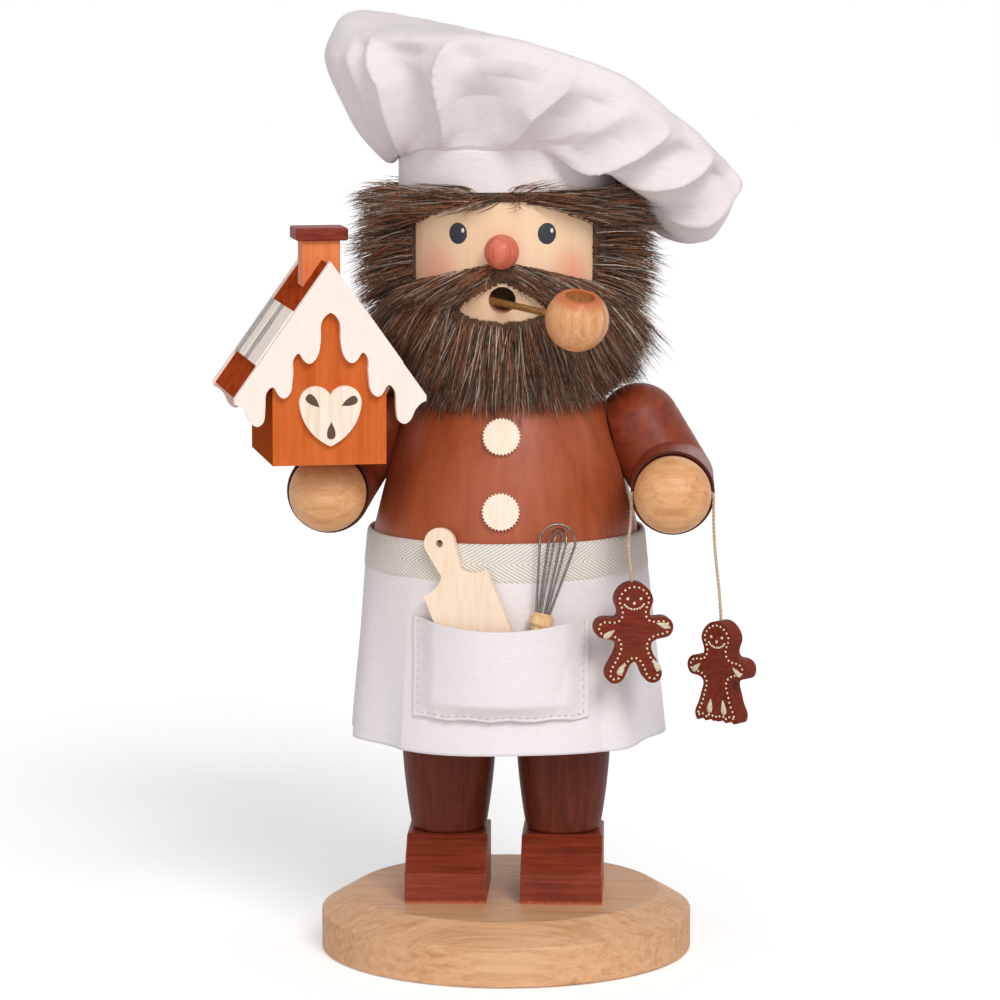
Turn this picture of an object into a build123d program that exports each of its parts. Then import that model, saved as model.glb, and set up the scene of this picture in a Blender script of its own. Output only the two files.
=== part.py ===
from build123d import *
import os
from math import asin, atan2, cos, pi, radians, sin, sqrt, tan

os.makedirs("parts", exist_ok=True)

# A turned wooden incense smoker in the form of a gingerbread baker.
# Millimetres, +Z up, origin at the centre of the base's underside, the figure faces -Y.

# Clearances and small allowances shared by the whole figure
cut_overrun = 1.0  # how far a cut runs past the face that it opens
slide_gap = 0.3  # between the lift-off body and what stays on the base
soft_gap = 0.3  # between cloth or fur and a piece that it must not touch
dowel_end_gap = 0.5  # free depth past the end of a dowel
dowel_radius = 4.0
edge_round = 0.6  # broken edge of a sawn or turned block

# Base
base_radius = 55.0
base_wall_height = 11.6
base_bevel_height = 5.6
base_bevel_width = 9.5
base_dowel_depth = 8.0
base_height = base_wall_height + base_bevel_height

# Shoes, one sawn wedge block each
leg_spacing = 34.0
shoe_width = 24.0
shoe_height = 18.3
shoe_toe_height = 8.7
shoe_toe_reach = 23.0  # from the leg's axis to the toe's face
shoe_instep_reach = 10.0
shoe_heel_reach = 11.5
shoe_top_z = base_height + shoe_height

# Legs
leg_foot_radius = 11.2
leg_knee_radius = 13.5
leg_knee_height = 19.2
leg_top_radius = 14.2
leg_length = 38.5
leg_foot_round = 1.5
leg_dowel_depth = 11.0
leg_top_z = shoe_top_z + leg_length

# Hip block with its spigot, and the dish that carries the incense cone
hip_flange_radius = 37.0
hip_flange_height = 8.0
hip_spigot_height = 10.0
hip_dowel_depth = 11.0
dish_radius = 16.0
dish_rim_height = 2.2
dish_sheet = 0.6
nail_radius = 0.9
nail_head_radius = 2.0
nail_head_height = 0.8
nail_length = 8.0
seat_z = leg_top_z + hip_flange_height
dish_z = seat_z + hip_spigot_height

# Hollow body: a long side arc that is widest at the belly, then a rounded shoulder
torso_radius = 40.9
torso_belly_height = 22.0
torso_side_arc = 172.0
torso_shoulder_height = 78.0
torso_height = 93.0
torso_neck_radius = 18.0
chamber_radius = 31.0
chamber_straight = 40.0
chamber_waist_radius = 20.0
chamber_waist_height = 74.0
chamber_top_height = 84.0
neck_bore_radius = 7.0
belly_z = seat_z + torso_belly_height
neck_z = seat_z + torso_height

# Arms: two round rods with a mitred elbow, glued to a sloping flat on the body
arm_radius = 12.0
arm_seat_x = 31.55
arm_seat_height = 72.0  # above the body's lower rim
arm_seat_tilt = 14.2  # degrees
shoulder_x = 39.2
shoulder_y = -5.0
shoulder_height = 75.2
elbow_x = 49.0
elbow_y = -8.0
elbow_height = 59.3
hand_radius = 11.0
hand_y = -45.0
hand_cup_reach = 4.0  # from the ball's centre back to the forearm's rim
cup_bevel_width = 1.1
arm_dowel_radius = 3.0
arm_dowel_depth = 6.5
elbow_z = seat_z + elbow_height
shoulder_z = seat_z + shoulder_height

# Head, drilled from below for the smoke
head_radius = 30.0
head_height = 61.0
head_chin_height = 28.0
head_bore_radius = 9.0
head_bore_depth = 38.0
nose_radius = 5.0
nose_sink = 1.5
nose_height = 34.2
mouth_radius = 3.9
mouth_height = 20.1

# Pipe
stem_radius = 1.0
stem_inner_x = -8.0
stem_inner_y = -23.9
stem_inner_height = 20.6
stem_stop = 1.0  # wood left between the stem's end and the bowl's bore
bowl_radius = 9.0
bowl_x = 21.9
bowl_y = -50.0
bowl_height = 16.3
bowl_rim_radius = 5.5
bowl_bore_radius = 4.15
bowl_bore_depth = 9.5
bowl_lean_forward = 18.0  # degrees
bowl_lean_aside = 8.0  # degrees

# Buttons with a serrated edge
button_radius = 5.5
button_thickness = 1.8
button_sink = 0.3
button_notch_radius = 0.42
button_notch_count = 32
button_upper_height = 74.0
button_lower_height = 53.1

# Fur: heights are above the neck
hat_overlap = 10.0  # how far the hat's band comes down over the head
hair_top_height = head_height - hat_overlap
hair_bottom_height = 2.5
hair_reach = 16.4  # past the head's side
hair_back_split = 6.0  # how far the beard's rear edge lies in front of the head's axis
face_half_width = 25.3
hairline_centre_height = 47.8
hairline_side_height = 41.3
fringe_reach = 5.5
beard_top_height = 24.7
moustache_rise = 6.6
moustache_end_rise = 0.9
moustache_reach = 11.0
mouth_half_width = 13.6
mouth_sag = 11.2
beard_reach = 14.3
beard_length = 14.8  # below the neck
beard_chin_radius = 26.0
beard_chin_height = 9.0
beard_tip_radius = 39.8
beard_tip_thickness = 4.0

# Hat
hat_band_cloth = 1.5
hat_band_height = 12.0
crown_half_length = 60.0
crown_height = 40.0
crown_fold_count = 16
crown_fold_share = 0.035

# Apron
waistband_height = 11.5
waistband_cloth = 1.3
waistband_gap = 0.2
waistband_rise = 32.6  # its lower edge above the body's lower rim
skirt_cloth = 1.1
skirt_length = 49.0
skirt_flare = 4.4
skirt_fold = 1.3
skirt_top_fold = 0.15
skirt_front_angle = 39.0  # degrees of plain front to each side
skirt_back_angle = 150.0
skirt_side_folds = 6
pocket_half_width = 25.5
pocket_height = 29.0
pocket_drop = 9.6  # its mouth below the waistband
pocket_mouth_sag = 2.4
pocket_edge_rise = 3.0
pocket_edge_lean = 0.7
pocket_low_room = 7.0
pocket_top_room = 9.6
pocket_cloth = 0.8

# Cutting board
board_width = 20.4
board_length = 24.0
board_thickness = 2.2
board_shoulder_height = 3.2
board_shoulder_sag = 1.2
board_neck_width = 6.2
board_handle_width = 9.1
board_handle_length = 13.4
board_hole_radius = 1.1
board_angle = -14.1  # degrees round the apron from its front
board_lean = 24.3  # degrees
board_drop = 21.3  # its foot below the waistband
board_shift = 7.7

# Whisk
whisk_angle = 10.3  # degrees round the apron from its front
whisk_lean = 12.5  # degrees
whisk_drop = 26.0  # its foot below the waistband
whisk_handle_length = 18.6
whisk_collar_radius = 3.4
whisk_collar_height = 4.2
whisk_grip_radius = 2.6
wire_radius = 0.36
wire_loop_count = 3
wire_foot_radius = 1.7
wire_loop_radius = 5.1
wire_height = 25.8
wire_embed = 1.5  # how far the wires are pressed into the handle
whisk_end_round = 1.0
wire_nest = 1.2  # how far each loop stays inside the one before

# Gingerbread house
house_seat_reach = 21.0  # from the hand's centre forward to the house's front wall
house_seat_shift = -2.6
house_yaw = 13.6  # degrees
house_tilt = 0.8  # degrees forward
house_width = 32.0
house_depth = 43.5
house_wall_height = 27.7
roof_pitch = 54.5  # degrees
roof_board = 3.5
roof_slope_length = 40.7
icing_board = 2.5
icing_lip = 0.9
icing_end_cut = 1.5
chimney_width = 10.6
chimney_depth = 9.5
chimney_setback = 14.0
chimney_rise = 5.44  # above the ridge
cap_width = 14.8
cap_depth = 13.0
cap_thickness = 3.6
panel_thickness = 0.9
panel_groove_depth = 0.3
slit_length = 5.4
slit_width = 0.55
slit_depth = 0.3
slit_spread = 13.0  # degrees between a slit of a pair and the groove
heart_thickness = 1.8
heart_width = 17.3
heart_height = 16.8
heart_foot_height = 5.5
almond_length = 4.9
almond_width = 2.4
almond_depth = 0.4
house_peg_radius = 1.5
house_peg_depth = 6.0
house_seat_drop = 0.2  # flat on top of the hand below the ball's full height
house_fur_rise = 10.0  # the fur keeps clear of the roof down to this height above the floor

# Strings and gingerbread figures
string_radius = 0.5
string_gap = 0.1
string_hole_gap = 0.3
string_groove_gap = 0.3
string_exit_reach = 1.6  # in front of the forearm's rim
string_bend_radius = 1.2
string_hole_depth = 7.5
string_hinge_gap = 0.4  # below the bend, where each hanging length swings
string_man_sway = (0.0, 0.0, -1.2, 0.2, 0.45)
string_man_drop = (0.0, 5.5, 13.0, 22.5, 31.0)
string_woman_sway = (0.0, 0.0, 0.9, 2.3, 2.65)
string_woman_drop = (0.0, 8.0, 18.5, 30.5, 42.0)
ginger_thickness = 5.0
ginger_height = 29.0
man_half_width = 11.3
man_yaw = 10.0  # degrees
woman_half_width = 10.4
woman_yaw = -38.0  # degrees


def save_piece(builder, name):
    """Labels one finished piece and writes it to its own file."""
    builder.part.label = name
    export_step(builder.part, f"parts/{name}.step")


def front_plane(x, y, z):
    """An upright drawing plane that faces the viewer: x to the right, y up."""
    return Plane(origin=(x, y, z), x_dir=(1, 0, 0), z_dir=(0, -1, 0))


def upright_axis(x, y):
    return Axis((x, y, 0), (0, 0, 1))


def torso_radius_at(z):
    """Outer radius of the body's side arc at height z."""
    rise = z - belly_z
    return torso_radius - torso_side_arc + sqrt(torso_side_arc**2 - rise**2)


def button_seat(z):
    """The flat that a button is glued to, square to the body's front at height z."""
    lean = asin((z - belly_z) / torso_side_arc)
    facing = Vector(0, -cos(lean), sin(lean))
    centre = Vector(0, -torso_radius_at(z), z) - facing * button_sink
    return Plane(origin=centre, x_dir=(1, 0, 0), z_dir=facing)


# Base disc with a bevelled upper edge
with BuildPart() as base_disc:
    with BuildSketch(Plane.XZ):
        with BuildLine():
            Polyline(
                (0, 0),
                (base_radius, 0),
                (base_radius, base_wall_height),
                (base_radius - base_bevel_width, base_height),
                (0, base_height),
                close=True,
            )
        make_face()
    revolve(axis=Axis.Z)
    rims = base_disc.edges().filter_by(GeomType.CIRCLE)
    fillet(rims, edge_round)
    with Locations(Plane.XY.offset(base_height - base_dowel_depth - dowel_end_gap)):
        with Locations((leg_spacing / 2, 0), (-leg_spacing / 2, 0)):
            Cylinder(
                dowel_radius,
                base_dowel_depth + dowel_end_gap + cut_overrun,
                align=(Align.CENTER, Align.CENTER, Align.MIN),
                mode=Mode.SUBTRACT,
            )
save_piece(base_disc, "base_disc")

# Shoes and legs, with the dowels that hold them
for side, side_name in ((-1, "left"), (1, "right")):
    leg_x = side * leg_spacing / 2

    with BuildPart() as shoe:
        with BuildSketch(Plane.YZ.offset(leg_x)):
            with BuildLine():
                Polyline(
                    (shoe_heel_reach, base_height),
                    (shoe_heel_reach, shoe_top_z),
                    (-shoe_instep_reach, shoe_top_z),
                    (-shoe_toe_reach, base_height + shoe_toe_height),
                    (-shoe_toe_reach, base_height),
                    close=True,
                )
            make_face()
        extrude(amount=shoe_width / 2, both=True)
        fillet(shoe.edges().group_by(Axis.Z)[1:], edge_round)
        with Locations((leg_x, 0, base_height)):
            Cylinder(
                dowel_radius,
                shoe_height + cut_overrun,
                align=(Align.CENTER, Align.CENTER, Align.MIN),
                mode=Mode.SUBTRACT,
            )
    save_piece(shoe, f"shoe_{side_name}")

    leg_plane = front_plane(leg_x, 0, shoe_top_z)
    with BuildPart() as leg:
        with BuildSketch(leg_plane):
            with BuildLine():
                Line((0, 0), (leg_foot_radius - leg_foot_round, 0))
                RadiusArc(
                    (leg_foot_radius - leg_foot_round, 0),
                    (leg_foot_radius, leg_foot_round),
                    -leg_foot_round,
                )
                ThreePointArc(
                    (leg_foot_radius, leg_foot_round),
                    (leg_knee_radius, leg_knee_height),
                    (leg_top_radius, leg_length),
                )
                Line((leg_top_radius, leg_length), (0, leg_length))
                Line((0, leg_length), (0, 0))
            make_face()
        revolve(axis=upright_axis(leg_x, 0))
        with Locations((leg_x, 0, shoe_top_z)):
            Cylinder(
                dowel_radius,
                leg_dowel_depth + dowel_end_gap,
                align=(Align.CENTER, Align.CENTER, Align.MIN),
                mode=Mode.SUBTRACT,
            )
        with Locations((leg_x, 0, leg_top_z)):
            Cylinder(
                dowel_radius,
                leg_dowel_depth + dowel_end_gap,
                align=(Align.CENTER, Align.CENTER, Align.MAX),
                mode=Mode.SUBTRACT,
            )
    save_piece(leg, f"leg_{side_name}")

with BuildPart() as foot_dowels:
    with Locations(Plane.XY.offset(base_height - base_dowel_depth)):
        with Locations((leg_spacing / 2, 0), (-leg_spacing / 2, 0)):
            Cylinder(
                dowel_radius,
                base_dowel_depth + shoe_height + leg_dowel_depth,
                align=(Align.CENTER, Align.CENTER, Align.MIN),
            )
save_piece(foot_dowels, "foot_dowels")

with BuildPart() as hip_dowels:
    with Locations(Plane.XY.offset(leg_top_z - leg_dowel_depth)):
        with Locations((leg_spacing / 2, 0), (-leg_spacing / 2, 0)):
            Cylinder(
                dowel_radius,
                leg_dowel_depth + hip_dowel_depth,
                align=(Align.CENTER, Align.CENTER, Align.MIN),
            )
save_piece(hip_dowels, "hip_dowels")

# Hip block: a flange for the body to rest on and a spigot that centres it
with BuildPart() as hip_block:
    with BuildSketch(Plane.XY.offset(leg_top_z)):
        Circle(hip_flange_radius)
    extrude(amount=hip_flange_height)
    fillet(hip_block.edges().group_by(Axis.Z)[0], edge_round)
    with BuildSketch(Plane.XY.offset(seat_z)):
        Circle(chamber_radius - slide_gap)
    extrude(amount=hip_spigot_height)
    chamfer(hip_block.edges().group_by(Axis.Z)[-1], edge_round)
    with Locations(Plane.XY.offset(leg_top_z)):
        with Locations((leg_spacing / 2, 0), (-leg_spacing / 2, 0)):
            Cylinder(
                dowel_radius,
                hip_dowel_depth + dowel_end_gap,
                align=(Align.CENTER, Align.CENTER, Align.MIN),
                mode=Mode.SUBTRACT,
            )
    with Locations((0, 0, dish_z)):
        Cylinder(
            nail_radius,
            nail_length,
            align=(Align.CENTER, Align.CENTER, Align.MAX),
            mode=Mode.SUBTRACT,
        )
save_piece(hip_block, "hip_block")

# Sheet dish for the incense cone, nailed through its centre
with BuildPart() as burner_plate:
    with BuildSketch(Plane.XZ):
        with BuildLine():
            Polyline(
                (nail_radius, dish_z),
                (dish_radius, dish_z),
                (dish_radius, dish_z + dish_rim_height),
                (dish_radius - dish_sheet, dish_z + dish_rim_height),
                (dish_radius - dish_sheet, dish_z + dish_sheet),
                (nail_radius, dish_z + dish_sheet),
                close=True,
            )
        make_face()
    revolve(axis=Axis.Z)
save_piece(burner_plate, "burner_plate")

with BuildPart() as burner_nail:
    with BuildSketch(Plane.XY.offset(dish_z + dish_sheet)):
        Circle(nail_head_radius)
    extrude(amount=nail_head_height)
    with BuildSketch(Plane.XY.offset(dish_z + dish_sheet)):
        Circle(nail_radius)
    extrude(amount=-nail_length)
save_piece(burner_nail, "burner_nail")

# Arm geometry: the seat is the sloping flat that body and arm share
arm_seat_z = seat_z + arm_seat_height
cup_rim_y = hand_y + hand_cup_reach
cup_rim_radius = sqrt(hand_radius**2 - hand_cup_reach**2)


def arm_seat(side):
    """The flat between the body and one arm, facing outwards."""
    tilt = radians(arm_seat_tilt)
    return Plane(
        origin=(side * arm_seat_x, shoulder_y, arm_seat_z),
        x_dir=(0, 1, 0),
        z_dir=(side * cos(tilt), 0, sin(tilt)),
    )


# Hollow body, open below, with a smoke bore through the neck
torso_shoulder_z = seat_z + torso_shoulder_height
shoulder_radius = torso_radius_at(torso_shoulder_z)
with BuildPart() as torso_shell:
    with BuildSketch(Plane.XZ):
        with BuildLine():
            side_arc = ThreePointArc(
                (torso_radius_at(seat_z), seat_z),
                (torso_radius, belly_z),
                (shoulder_radius, torso_shoulder_z),
            )
            TangentArc(
                (shoulder_radius, torso_shoulder_z),
                (torso_neck_radius, neck_z),
                tangent=side_arc % 1,
            )
            Polyline(
                (torso_neck_radius, neck_z),
                (neck_bore_radius, neck_z),
                (neck_bore_radius, seat_z + chamber_top_height),
                (chamber_waist_radius, seat_z + chamber_waist_height),
                (chamber_radius, seat_z + chamber_straight),
                (chamber_radius, seat_z),
                (torso_radius_at(seat_z), seat_z),
            )
        make_face()
    revolve(axis=Axis.Z)
    for side in (-1, 1):
        with BuildSketch(arm_seat(side)):
            Rectangle(4 * arm_radius, 6 * arm_radius)
        extrude(amount=torso_radius, mode=Mode.SUBTRACT)
        with Locations(arm_seat(side)):
            Cylinder(
                arm_dowel_radius,
                arm_dowel_depth + dowel_end_gap,
                align=(Align.CENTER, Align.CENTER, Align.MAX),
                mode=Mode.SUBTRACT,
            )
    for height in (button_lower_height, button_upper_height):
        with BuildSketch(button_seat(seat_z + height)):
            Circle(button_radius)
        extrude(amount=button_thickness, mode=Mode.SUBTRACT)
save_piece(torso_shell, "torso_shell")

# Buttons, serrated round the edge
for height, button_name in ((button_lower_height, "lower"), (button_upper_height, "upper")):
    with BuildPart() as button:
        with BuildSketch(button_seat(seat_z + height)):
            Circle(button_radius)
            with PolarLocations(button_radius, button_notch_count):
                Circle(button_notch_radius, mode=Mode.SUBTRACT)
        extrude(amount=button_thickness)
    save_piece(button, f"button_{button_name}")

# House floor: the plane of its underside, which is also the flat worked on the left hand
house_yaw_angle = radians(house_yaw)
house_tilt_angle = radians(house_tilt)
house_right = Vector(cos(house_yaw_angle), sin(house_yaw_angle), 0)
house_front = Vector(
    sin(house_yaw_angle) * cos(house_tilt_angle),
    -cos(house_yaw_angle) * cos(house_tilt_angle),
    -sin(house_tilt_angle),
)
house_up = house_front.cross(house_right)
left_hand_point = Vector(-elbow_x, hand_y, elbow_z)
house_seat_point = left_hand_point + house_up * (hand_radius - house_seat_drop)
house_floor = Plane(origin=house_seat_point, x_dir=house_right, z_dir=house_up)
house_face = Plane(
    origin=house_seat_point + house_front * house_seat_reach + house_right * house_seat_shift,
    x_dir=house_right,
    z_dir=house_front,
)

# String: it wraps behind the right hand in a groove of the cup and leaves at both sides
right_hand_point = Vector(elbow_x, hand_y, elbow_z)
wrap_radius = hand_radius + string_gap + string_radius
exit_back = hand_cup_reach - string_exit_reach
exit_side = sqrt(wrap_radius**2 - exit_back**2)


def string_exit(side):
    """Where the string leaves the groove, on the ball's left (-1) or right (1)."""
    return right_hand_point + Vector(side * exit_side, exit_back, 0)


def string_bend(side, turn):
    """A point of the quarter bend outside the groove; turn runs from 0 to 90 degrees."""
    forward = Vector(side * exit_back, -exit_side, 0).normalized()
    along = string_bend_radius * sin(radians(turn))
    drop = string_bend_radius * (1 - cos(radians(turn)))
    return string_exit(side) + forward * along - Vector(0, 0, drop)


wrap_back_point = right_hand_point + Vector(0, wrap_radius, 0)

# Arms and hands
for side, side_name in ((-1, "left"), (1, "right")):
    shoulder_point = Vector(side * shoulder_x, shoulder_y, shoulder_z)
    elbow_point = Vector(side * elbow_x, elbow_y, elbow_z)
    hand_point = Vector(side * elbow_x, hand_y, elbow_z)
    upper_arm_run = (elbow_point - shoulder_point).normalized()
    forearm_run = Vector(0, -1, 0)
    mitre = Plane(origin=elbow_point, z_dir=upper_arm_run + forearm_run)
    mitre_reach = arm_radius * tan(radians(upper_arm_run.get_angle(forearm_run)) / 2)
    cup_rim = Plane(origin=(side * elbow_x, cup_rim_y, elbow_z), z_dir=(0, 1, 0))

    with BuildPart() as upper_arm:
        with BuildSketch(Plane(origin=shoulder_point, z_dir=upper_arm_run)):
            Circle(arm_radius)
        extrude(amount=(elbow_point - shoulder_point).length + mitre_reach + cut_overrun)
        with Locations(shoulder_point):
            Sphere(arm_radius)
        split(bisect_by=mitre, keep=Keep.BOTTOM)
        split(bisect_by=arm_seat(side), keep=Keep.TOP)
        with Locations(arm_seat(side)):
            Cylinder(
                arm_dowel_radius,
                arm_dowel_depth + dowel_end_gap,
                align=(Align.CENTER, Align.CENTER, Align.MIN),
                mode=Mode.SUBTRACT,
            )
    save_piece(upper_arm, f"upper_arm_{side_name}")

    with BuildPart() as forearm:
        with BuildSketch(cup_rim):
            Circle(arm_radius)
        extrude(amount=elbow_y - cup_rim_y + mitre_reach + cut_overrun)
        split(bisect_by=mitre, keep=Keep.TOP)
        with Locations(hand_point):
            Sphere(hand_radius, mode=Mode.SUBTRACT)
        with Locations(cup_rim):
            Cone(
                cup_rim_radius + cup_bevel_width,
                cup_rim_radius,
                cup_bevel_width,
                align=(Align.CENTER, Align.CENTER, Align.MIN),
                mode=Mode.SUBTRACT,
            )
        if side < 0:
            split(bisect_by=house_floor, keep=Keep.BOTTOM)
        else:
            with BuildLine():
                groove = ThreePointArc(string_exit(-1), wrap_back_point, string_exit(1))
            with BuildSketch(Plane(origin=groove @ 0, z_dir=groove % 0)):
                Circle(string_radius + string_groove_gap)
            sweep(mode=Mode.SUBTRACT)
    save_piece(forearm, f"forearm_{side_name}")

    with BuildPart() as hand:
        with Locations(hand_point):
            Sphere(hand_radius)
        if side < 0:
            split(bisect_by=house_floor, keep=Keep.BOTTOM)
            with Locations(house_floor):
                Cylinder(
                    house_peg_radius,
                    house_peg_depth + dowel_end_gap,
                    align=(Align.CENTER, Align.CENTER, Align.MAX),
                    mode=Mode.SUBTRACT,
                )
    save_piece(hand, f"hand_{side_name}")

with BuildPart() as arm_dowels:
    with Locations(arm_seat(-1), arm_seat(1)):
        Cylinder(arm_dowel_radius, 2 * arm_dowel_depth)
save_piece(arm_dowels, "arm_dowels")

# Head: a round-chinned barrel, drilled from below and through the mouth
head_top_z = neck_z + head_height
mouth_point = Vector(0, 0, neck_z + mouth_height)
nose_point = Vector(0, nose_sink - head_radius - nose_radius, neck_z + nose_height)
bowl_point = Vector(bowl_x, bowl_y, neck_z + bowl_height)
stem_start = Vector(stem_inner_x, stem_inner_y, neck_z + stem_inner_height)
stem_run = (bowl_point - stem_start).normalized()
stem_length = (bowl_point - stem_start).length - bowl_bore_radius - stem_stop
stem_plane = Plane(origin=stem_start, z_dir=stem_run)

with BuildPart() as head_blank:
    with BuildSketch(Plane.XZ):
        with BuildLine():
            chin_z = neck_z + head_chin_height
            TangentArc((head_radius, chin_z), (torso_neck_radius, neck_z), tangent=(0, -1))
            Polyline(
                (torso_neck_radius, neck_z),
                (0, neck_z),
                (0, head_top_z),
                (head_radius, head_top_z),
                (head_radius, chin_z),
            )
        make_face()
    revolve(axis=Axis.Z)

with BuildPart() as head:
    add(head_blank.part)
    with Locations((0, 0, neck_z)):
        Cylinder(
            head_bore_radius,
            head_bore_depth,
            align=(Align.CENTER, Align.CENTER, Align.MIN),
            mode=Mode.SUBTRACT,
        )
    with BuildSketch(Plane(origin=mouth_point, z_dir=(0, -1, 0))):
        Circle(mouth_radius)
    extrude(amount=head_radius + cut_overrun, mode=Mode.SUBTRACT)
    with Locations(nose_point):
        Sphere(nose_radius, mode=Mode.SUBTRACT)
    with BuildSketch(stem_plane):
        Circle(stem_radius)
    extrude(amount=stem_length, mode=Mode.SUBTRACT)
save_piece(head, "head")

with BuildPart() as nose:
    with Locations(nose_point):
        Sphere(nose_radius)
save_piece(nose, "nose")

# Pipe: a drawn stem set into the wood beside the mouth, and a turned bowl
with BuildPart() as pipe_stem:
    with BuildSketch(stem_plane):
        Circle(stem_radius)
    extrude(amount=stem_length)
save_piece(pipe_stem, "pipe_stem")

bowl_up = Vector(
    sin(radians(bowl_lean_aside)),
    -sin(radians(bowl_lean_forward)),
    cos(radians(bowl_lean_forward)),
)
bowl_rim = Plane(origin=bowl_point, z_dir=bowl_up).offset(sqrt(bowl_radius**2 - bowl_rim_radius**2))
with BuildPart() as pipe_bowl:
    with Locations(bowl_point):
        Sphere(bowl_radius)
    split(bisect_by=bowl_rim, keep=Keep.BOTTOM)
    with Locations(bowl_rim):
        Cylinder(
            bowl_bore_radius,
            bowl_bore_depth,
            align=(Align.CENTER, Align.CENTER, Align.MAX),
            mode=Mode.SUBTRACT,
        )
    add(pipe_stem.part, mode=Mode.SUBTRACT)
save_piece(pipe_bowl, "pipe_bowl")

# Hat: a plain band and a gathered crown that slumps to the figure's left
hat_band_z = neck_z + hair_top_height
hat_band_top_z = hat_band_z + hat_band_height
hat_band_radius = head_radius + hat_band_cloth
with BuildPart() as hat_band:
    with BuildSketch(Plane.XY.offset(hat_band_z)):
        Circle(hat_band_radius)
        Circle(head_radius, mode=Mode.SUBTRACT)
    extrude(amount=hat_band_height)
save_piece(hat_band, "hat_band")

# Each ring of the crown: left end, right end and half width. Sideways places and half widths
# are shares of the crown's half length, heights are shares of its height above the band.
crown_ring_shares = (
    ((-0.62, -0.06), (0.76, -0.72), 0.68),
    ((-0.74, 0.14), (1.00, -0.66), 0.78),
    ((-0.87, 0.52), (1.12, -0.36), 0.84),
    ((-0.85, 0.82), (1.06, -0.12), 0.80),
    ((-0.72, 0.99), (0.80, 0.20), 0.64),
    ((-0.50, 0.97), (0.42, 0.52), 0.38),
)


def crown_ring(left, right, half_width):
    """One closed ring of the crown: equal arcs that bulge past an ellipse, in its own plane."""
    left_point = Vector(left[0] * crown_half_length, 0, hat_band_top_z + left[1] * crown_height)
    right_point = Vector(right[0] * crown_half_length, 0, hat_band_top_z + right[1] * crown_height)
    across = right_point - left_point
    plane = Plane(
        origin=(left_point + right_point) / 2,
        x_dir=across,
        z_dir=across.cross(Vector(0, 1, 0)),
    )
    long_radius = across.length / 2
    short_radius = half_width * crown_half_length

    def ring_point(fold, share):
        angle = 2 * pi * fold / crown_fold_count
        return (share * long_radius * cos(angle), share * short_radius * sin(angle))

    with BuildSketch(plane) as ring:
        with BuildLine():
            for fold in range(crown_fold_count):
                ThreePointArc(
                    ring_point(fold, 1 - crown_fold_share),
                    ring_point(fold + 1 / 2, 1 + crown_fold_share / 2),
                    ring_point(fold + 1, 1 - crown_fold_share),
                )
        make_face()
    return ring.sketch


with BuildPart() as hat_crown:
    for left_share, right_share, width_share in crown_ring_shares:
        add(crown_ring(left_share, right_share, width_share))
    loft()
    with BuildSketch(Plane.XY.offset(hat_band_top_z)):
        with Locations((hat_band_radius - crown_half_length, 0)):
            Rectangle(2 * crown_half_length, 2 * crown_half_length)
    extrude(amount=-crown_height, mode=Mode.SUBTRACT)
save_piece(hat_crown, "hat_crown")

# Outline of the house's roof in its own front view
pitch = radians(roof_pitch)
gable_peak = house_wall_height + house_width / 2 * tan(pitch)
ridge_height = gable_peak + roof_board / cos(pitch)
chimney_top_height = ridge_height + chimney_rise
icing_peak = ridge_height + icing_lip
eave_reach = roof_slope_length * cos(pitch) + roof_board * sin(pitch)
icing_reach = eave_reach + icing_lip / 2
icing_end_height = icing_peak - icing_reach * tan(pitch)


def keep_clear_of_roof():
    """A block a little larger than the roof, which the fur is cut back to."""
    reach = icing_reach + soft_gap
    with BuildPart(mode=Mode.PRIVATE) as block:
        with BuildSketch(house_face.offset(icing_board + soft_gap)):
            with BuildLine():
                Polyline(
                    (-reach, house_fur_rise),
                    (-reach, icing_end_height + soft_gap),
                    (0, icing_peak + 2 * soft_gap),
                    (reach, icing_end_height + soft_gap),
                    (reach, house_fur_rise),
                    close=True,
                )
            make_face()
        extrude(amount=-(house_depth + 2 * icing_board + 2 * soft_gap))
    return block.part


roof_room = keep_clear_of_roof()

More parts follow.
